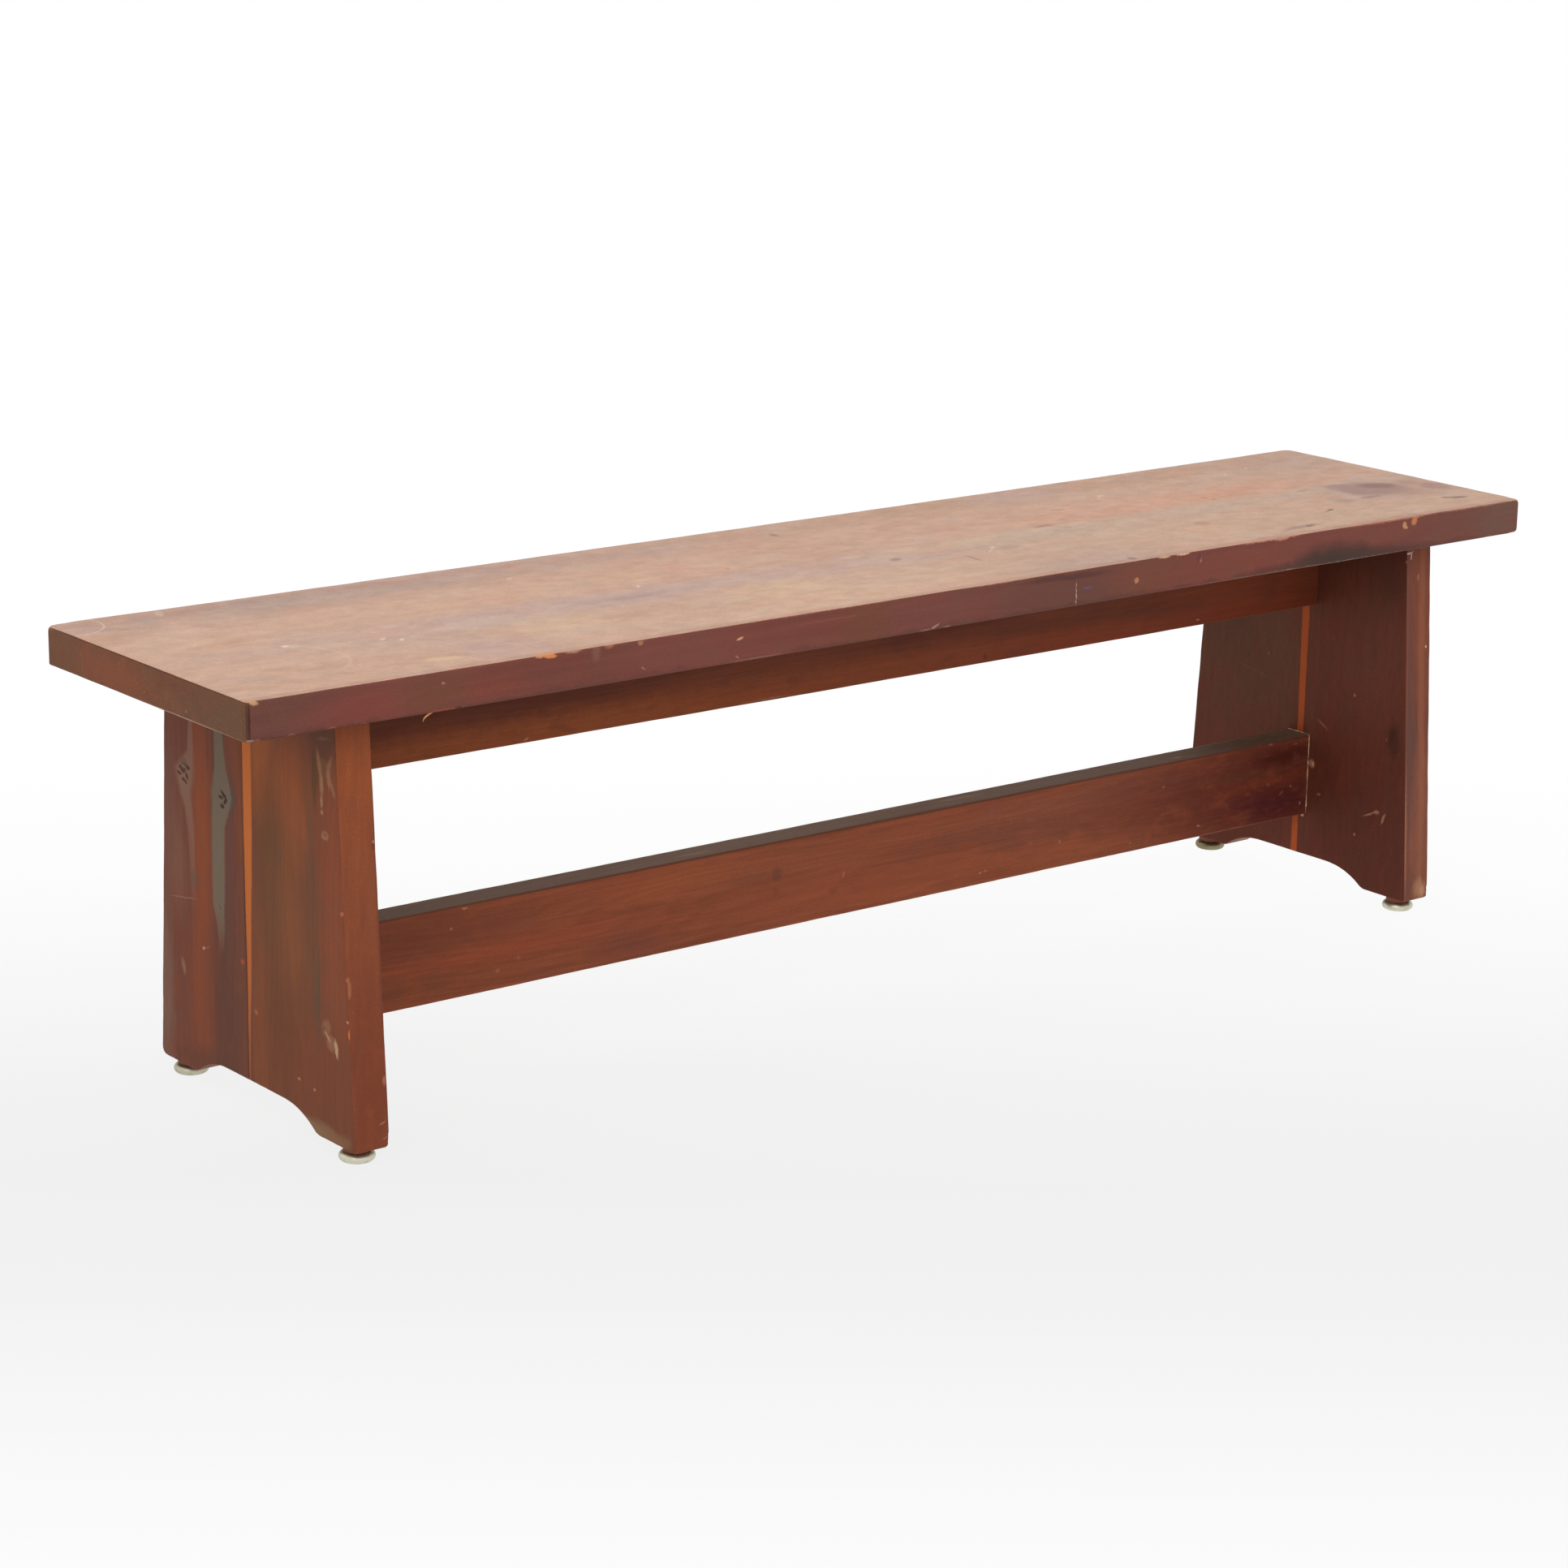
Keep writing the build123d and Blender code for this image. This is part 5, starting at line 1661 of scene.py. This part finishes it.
    def bored(self, rail: bpy.types.Object) -> None:
        """Cuts the screws' counterbores into the rail's underside."""
        box = [np.array(corner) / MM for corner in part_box("top_rail")]
        middle_y = (box[0][1] + box[1][1]) / 2
        sides = self.BORE_SIDES
        turn = np.linspace(0, 2 * math.pi, sides, endpoint=False)
        circle = np.stack([np.cos(turn), np.sin(turn)], axis=1) * self.bore_radius
        points, faces = [], []
        for share in self.bore_shares:
            start = len(points)
            for z in (box[0][2] - self.BORE_START, box[0][2] + self.bore_depth - 1.0):
                points += [(share * box[1][0] + dx, middle_y + dy, z) for dx, dy in circle]
            ends = [tuple(range(start, start + sides))[::-1], tuple(range(start + sides, start + 2 * sides))]
            walls = [tuple(start + k for k in quad) for quad in ring_quads(2, sides)]
            faces += ends + walls
        cutter = make_mesh("rail_bores", points, faces, smooth=False)
        modifier = rail.modifiers.new("counterbores", "BOOLEAN")
        modifier.operation, modifier.object, modifier.solver = "DIFFERENCE", cutter, "EXACT"
        bpy.context.view_layer.update()
        cut = bpy.data.meshes.new_from_object(rail.evaluated_get(bpy.context.evaluated_depsgraph_get()))
        rail.modifiers.clear()
        rail.data = cut
        bpy.data.objects.remove(cutter)
        log.info("top_rail_worn: %d counterbores cut", len(self.bore_shares))

    def add_glue(self) -> None:
        """Adds the bead of dried glue along the stretcher's top and front at the right panel."""
        low, high = (np.array(corner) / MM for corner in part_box("stretcher"))
        inset = self.BEAD_INSET
        x = self.sizes.inner_x - inset
        front, back, top, bottom = low[1] - inset, high[1] - 1.0, high[2] + inset, low[2] + 0.5
        corner = np.array([(x, back, top), (x, front + 2.2, top), (x, front + 0.5, top - 0.2),
                           (x, front, top - 1.8), (x, front, bottom)])
        spans = np.concatenate([[0.0], np.cumsum(np.linalg.norm(np.diff(corner, axis=0), axis=1))])
        way = np.arange(0.0, spans[-1], 0.8)
        path = np.stack([np.interp(way, spans, corner[:, axis]) for axis in range(3)], axis=1)
        swell = ripple(np.stack([way, way * 0.3, way * 0], axis=1), 9.0, 3)
        beyond = way - spans[-1]
        lumps = np.exp(-((beyond + 60) / 2.2) ** 2) + 0.8 * np.exp(-((beyond + 10) / 2.0) ** 2)
        radii = np.clip(0.36 + 0.2 * swell + 0.6 * lumps, 0.08, 1.3)
        radii[0] = radii[-1] = 0.15
        made = tube("stretcher_glue_bead", path, radii, DriedGlue().material())
        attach(made, BODY)
        log.info("stretcher_glue_bead: %.0f mm long", spans[-1])

    def build(self) -> None:
        """Builds both boards."""
        rail_skin = self.rail_face().material()
        rail = Plank("top_rail_worn", ("top_rail",), "rail_wood", 1, (self.rail_arris, self.rail_arris),
                     glued=((0, 0), (0, 1), (2, 1)), cell=(9.0, 6.0, 6.0), seed=61,
                     shape=self.sizes.sunk)
        self.bored(rail.build([rail_skin] * 6))
        skin, dusty = self.stretcher_face().material(), self.stretcher_top_face().material()
        stretcher = Plank("stretcher_worn", ("stretcher",), "rail_wood", 1,
                          (self.stretcher_arris, self.stretcher_arris), glued=((0, 0), (0, 1)),
                          cell=(8.0, 6.0, 6.0), seed=71)
        stretcher.build([skin, skin, skin, skin, skin, dusty])
        self.add_glue()


@dataclass
class Glides:
    """The four cushion glides: a rolled nickel cup round a rubber cushion, nailed up into each foot."""

    cup_radius: float = 17.4
    cup_height: float = 9.2
    cup_wall: float = 0.9
    top: float = 16.0
    neck_radius: float = 13.6
    lip_room: float = 0.25  # between the cushion and the cup's rolled lip
    around: int = 96

    def cup_profile(self) -> np.ndarray:
        """The cup's section, as radius and height: up round its rolled rim, and back down inside."""
        rim = self.cup_height / 2
        turn = np.radians(np.linspace(-90, 90, 19))
        lip = self.cup_radius - rim
        outside = np.stack([lip + rim * np.cos(turn), rim + rim * np.sin(turn)], axis=1)
        outside[:, 1] += 0.12 * np.exp(-((outside[:, 1] - rim) / 0.5) ** 2)
        inner = rim - self.cup_wall
        inside = np.stack([lip + inner * np.cos(turn[::-1]), rim + inner * np.sin(turn[::-1])], axis=1)
        floor = np.array([(0.0, 0.35), (lip * 0.55, 0.2), (lip * 0.9, 0.0)])
        inner_floor = np.array([(lip * 0.9, self.cup_wall), (0.0, self.cup_wall + 0.3)])
        curl = np.array([(lip - 0.35, self.cup_height - 0.45)])
        return np.concatenate([floor, outside, curl, inside, inner_floor])

    def cushion_profile(self) -> np.ndarray:
        """The cushion's section: a dished base in the cup, and a neck with a soft swell under the foot."""
        rim = self.cup_height / 2
        inner = rim - self.cup_wall - 0.15
        turn = np.radians(np.linspace(-90, 90, 17))
        lip = self.cup_radius - rim
        flange = np.stack([lip + inner * np.cos(turn), rim + inner * np.sin(turn)], axis=1)
        base = np.array([(0.0, rim - inner + 0.25), (lip * 0.9, rim - inner)])
        throat = lip - 0.35 - self.lip_room
        waist = np.array([(throat, rim + inner + 0.05), (throat, self.cup_height)])
        turn = np.linspace(0, math.pi, 9)
        neck_low = self.cup_height + 0.3
        swell = np.sin(turn / 2) ** 0.5 - 0.04 * (1 - np.cos(turn)) / 2
        neck = np.stack([throat + (self.neck_radius - throat) * swell,
                         neck_low + (self.top - neck_low) * (1 - np.cos(turn)) / 2], axis=1)
        return np.concatenate([base, flange, waist, neck, np.array([(0.0, self.top)])])

    def turned(self, name: str, node: str, profile: np.ndarray, material: bpy.types.Material,
               unevenness: float, seed: int) -> None:
        """Turns a section round a glide's axis, and lets it be a little out of round.

        Args:
            name: the piece's name.
            node: the CAD node that it stands for, which gives its axis.
            profile: the section, as radius and height.
            material: its finish.
            unevenness: how far it goes in at most, in millimetres.
            seed: a number that sets its shape apart.
        """
        low, high = (np.array(corner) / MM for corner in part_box(node))
        middle = (low + high) / 2
        turn = np.linspace(0, 2 * math.pi, self.around, endpoint=False)
        radius, height = np.maximum(profile[:, 0], 0.02)[:, None], profile[:, 1][:, None]
        points = np.stack([radius * np.cos(turn), radius * np.sin(turn), height + 0 * turn], axis=2)
        points = points.reshape(-1, 3)
        dip = unevenness * (0.5 + 0.5 * np.clip(ripple(points, 22.0, seed), -1, 1))
        length = np.linalg.norm(points[:, :2], axis=1)
        points[:, :2] *= (1 - dip / np.maximum(length, 6.0))[:, None]
        points[:, :2] += middle[:2]
        made = make_mesh(name, points, ring_quads(len(profile), self.around), None, [material])
        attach(made, BODY)
        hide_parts(node)

    def build(self) -> None:
        """Builds the cups and cushions."""
        nickel, rubber = NickelPlate().material(), CushionRubber().material()
        seed = 100
        for side in ("left", "right"):
            for face in ("front", "back"):
                glide = f"{side}_{face}_glide"
                self.turned(glide + "_rolled_cup", glide + "_cup", self.cup_profile(), nickel,
                            0.25, seed)
                self.turned(glide + "_soft_cushion", glide + "_cushion",
                            self.cushion_profile(), rubber, 0.25, seed)
                seed += 7
        log.info("glides: 4 cups and 4 cushions turned")


class HiddenPegs:
    """Finishes for the CAD pieces that lie inside the bench: dowels, nails and screws."""

    def dress(self) -> None:
        """Gives each of them its own finish, in the CAD mesh's material slots."""
        kinds = {"_dowels": BareBeech().material(), "_nail": DrawnSteel().material()}
        kinds["_screws"] = kinds["_nail"]
        count = 0
        for name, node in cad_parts.items():
            for ending, material in kinds.items():
                if name.endswith(ending):
                    for place in node.material_slots:
                        place.material = material
                    count += 1
        log.info("hidden pegs: %d CAD nodes dressed", count)


# Studio


@dataclass
class Studio:
    """The pale floor, the soft light and the camera."""

    camera_place: Point = (-2561.0, -3170.7, 1323.7)
    azimuth: float = -38.0968
    elevation: float = 15.1641
    roll: float = 0.7929
    focal_pixels: float = 4972.93
    image_pixels: float = 1932.0
    sensor: float = 36.0
    floor_half: float = 6000.0
    key_place: Point = (-2.6, -2.4, 3.2)  # in metres, as its size
    key_target: Point = (0.0, 0.0, 0.3)
    key_size: tuple[float, float] = (2.6, 2.0)
    key_power: float = 45.0
    # painted light: the floor's glow at each distance
    floor_glow_tones: tuple[tuple[float, Tone], ...] = (  # distance beyond the bench's middle, and the tone there
        (-1500.0, 0xF8F8F8), (-1200.0, 0xF3F3F3), (-900.0, 0xEDEDED), (-600.0, 0xEBEBEB), (-300.0, 0xEEEEEE),
        (0.0, 0xF3F3F3), (400.0, 0xF8F8F8), (1000.0, 0xFBFBFB), (1500.0, 0xFDFDFD))

    def add_camera(self) -> None:
        """Sets the camera where the photograph was taken from."""
        azimuth, elevation, roll = (math.radians(v) for v in (self.azimuth, self.elevation, self.roll))
        back = Vector((math.sin(azimuth) * math.cos(elevation), -math.cos(azimuth) * math.cos(elevation),
                       math.sin(elevation)))
        right = Vector((math.cos(azimuth), math.sin(azimuth), 0.0))
        up = back.cross(right)
        turned_right = math.cos(roll) * right + math.sin(roll) * up
        turned_up = math.cos(roll) * up - math.sin(roll) * right
        data = bpy.data.cameras.new("photo_camera")
        data.sensor_fit = "HORIZONTAL"
        data.sensor_width = self.sensor
        data.lens = self.focal_pixels / self.image_pixels * self.sensor
        data.clip_end = 100.0
        camera = bpy.data.objects.new("photo_camera", data)
        turn = Matrix((turned_right, turned_up, back)).transposed()
        camera.matrix_world = Matrix.Translation(Vector(self.camera_place) * MM) @ turn.to_4x4()
        bpy.context.scene.collection.objects.link(camera)
        bpy.context.scene.camera = camera

    def add_floor(self) -> None:
        """Lays the floor: it glows with painted light, dimmest in a band in front of the bench, and fades out
        into the white round it.
        """
        recipe = Recipe("pale_floor")
        x, y, _ = recipe.parts(recipe.here)
        away = recipe.reach(recipe.joined(x, y))
        azimuth = math.radians(self.azimuth)
        depth = y * math.cos(azimuth) - x * math.sin(azimuth)
        first, last = self.floor_glow_tones[0][0], self.floor_glow_tones[-1][0]
        stops = [((place - first) / (last - first), tone(colour)) for place, colour in self.floor_glow_tones]
        lit = recipe.node("ShaderNodeValToRGB", {"stops": stops}, {0: (depth - first) / (last - first)})
        paper = recipe.noise(recipe.here, (3.0, 3.0, 3.0), 3.0, 0.6)
        lit = recipe.shaded(lit, recipe.spread(paper, 0.995, 1.0))
        # painted light: the floor glows by its emission, and its dark base colour keeps the bench's shadow
        # off it
        shader = recipe.node("ShaderNodeBsdfPrincipled", None,
                             {"Base Color": (0.04, 0.04, 0.04, 1.0), "Roughness": 0.9,
                              "Specular IOR Level": 0.0, "Emission Color": lit, "Emission Strength": 1.0,
                              "Alpha": recipe.fade(away, 4200.0, 2600.0)})
        half = self.floor_half
        corners = [(-half, -half, 0), (half, -half, 0), (half, half, 0), (-half, half, 0)]
        floor = make_mesh("floor", corners, [(0, 1, 2, 3)], None, [recipe.closed(shader)])

    def add_light(self) -> None:
        """Lights the scene: white all round, and a large soft light above the front left."""
        world = bpy.data.worlds.new("white_studio")
        world.use_nodes = True
        background = world.node_tree.nodes["Background"]
        background.inputs["Color"].default_value = (1.0, 1.0, 1.0, 1.0)
        background.inputs["Strength"].default_value = 1.0
        bpy.context.scene.world = world
        data = bpy.data.lights.new("key", "AREA")
        data.shape = "RECTANGLE"
        data.size, data.size_y = self.key_size
        data.energy = self.key_power
        key = bpy.data.objects.new("key", data)
        key.location = self.key_place
        key.rotation_euler = (Vector(self.key_target) - key.location).to_track_quat("-Z", "Y").to_euler()
        bpy.context.scene.collection.objects.link(key)

    def build(self) -> None:
        """Sets up the camera, floor and light, and the plain view of colours."""
        self.add_camera()
        self.add_floor()
        self.add_light()
        bpy.context.scene.view_settings.view_transform = "Standard"


def main() -> None:
    """Builds the whole scene."""
    logging.basicConfig(level=logging.INFO, format="%(name)s %(message)s")
    sizes = Sizes.measured()
    Studio().build()
    Seat(sizes).build()
    EndPanel(sizes, "left", 11.5).build()
    EndPanel(sizes, "right", 1.0).build()
    CrossPieces(sizes).build()
    Glides().build()
    HiddenPegs().dress()


if __name__ == "__main__":
    main()
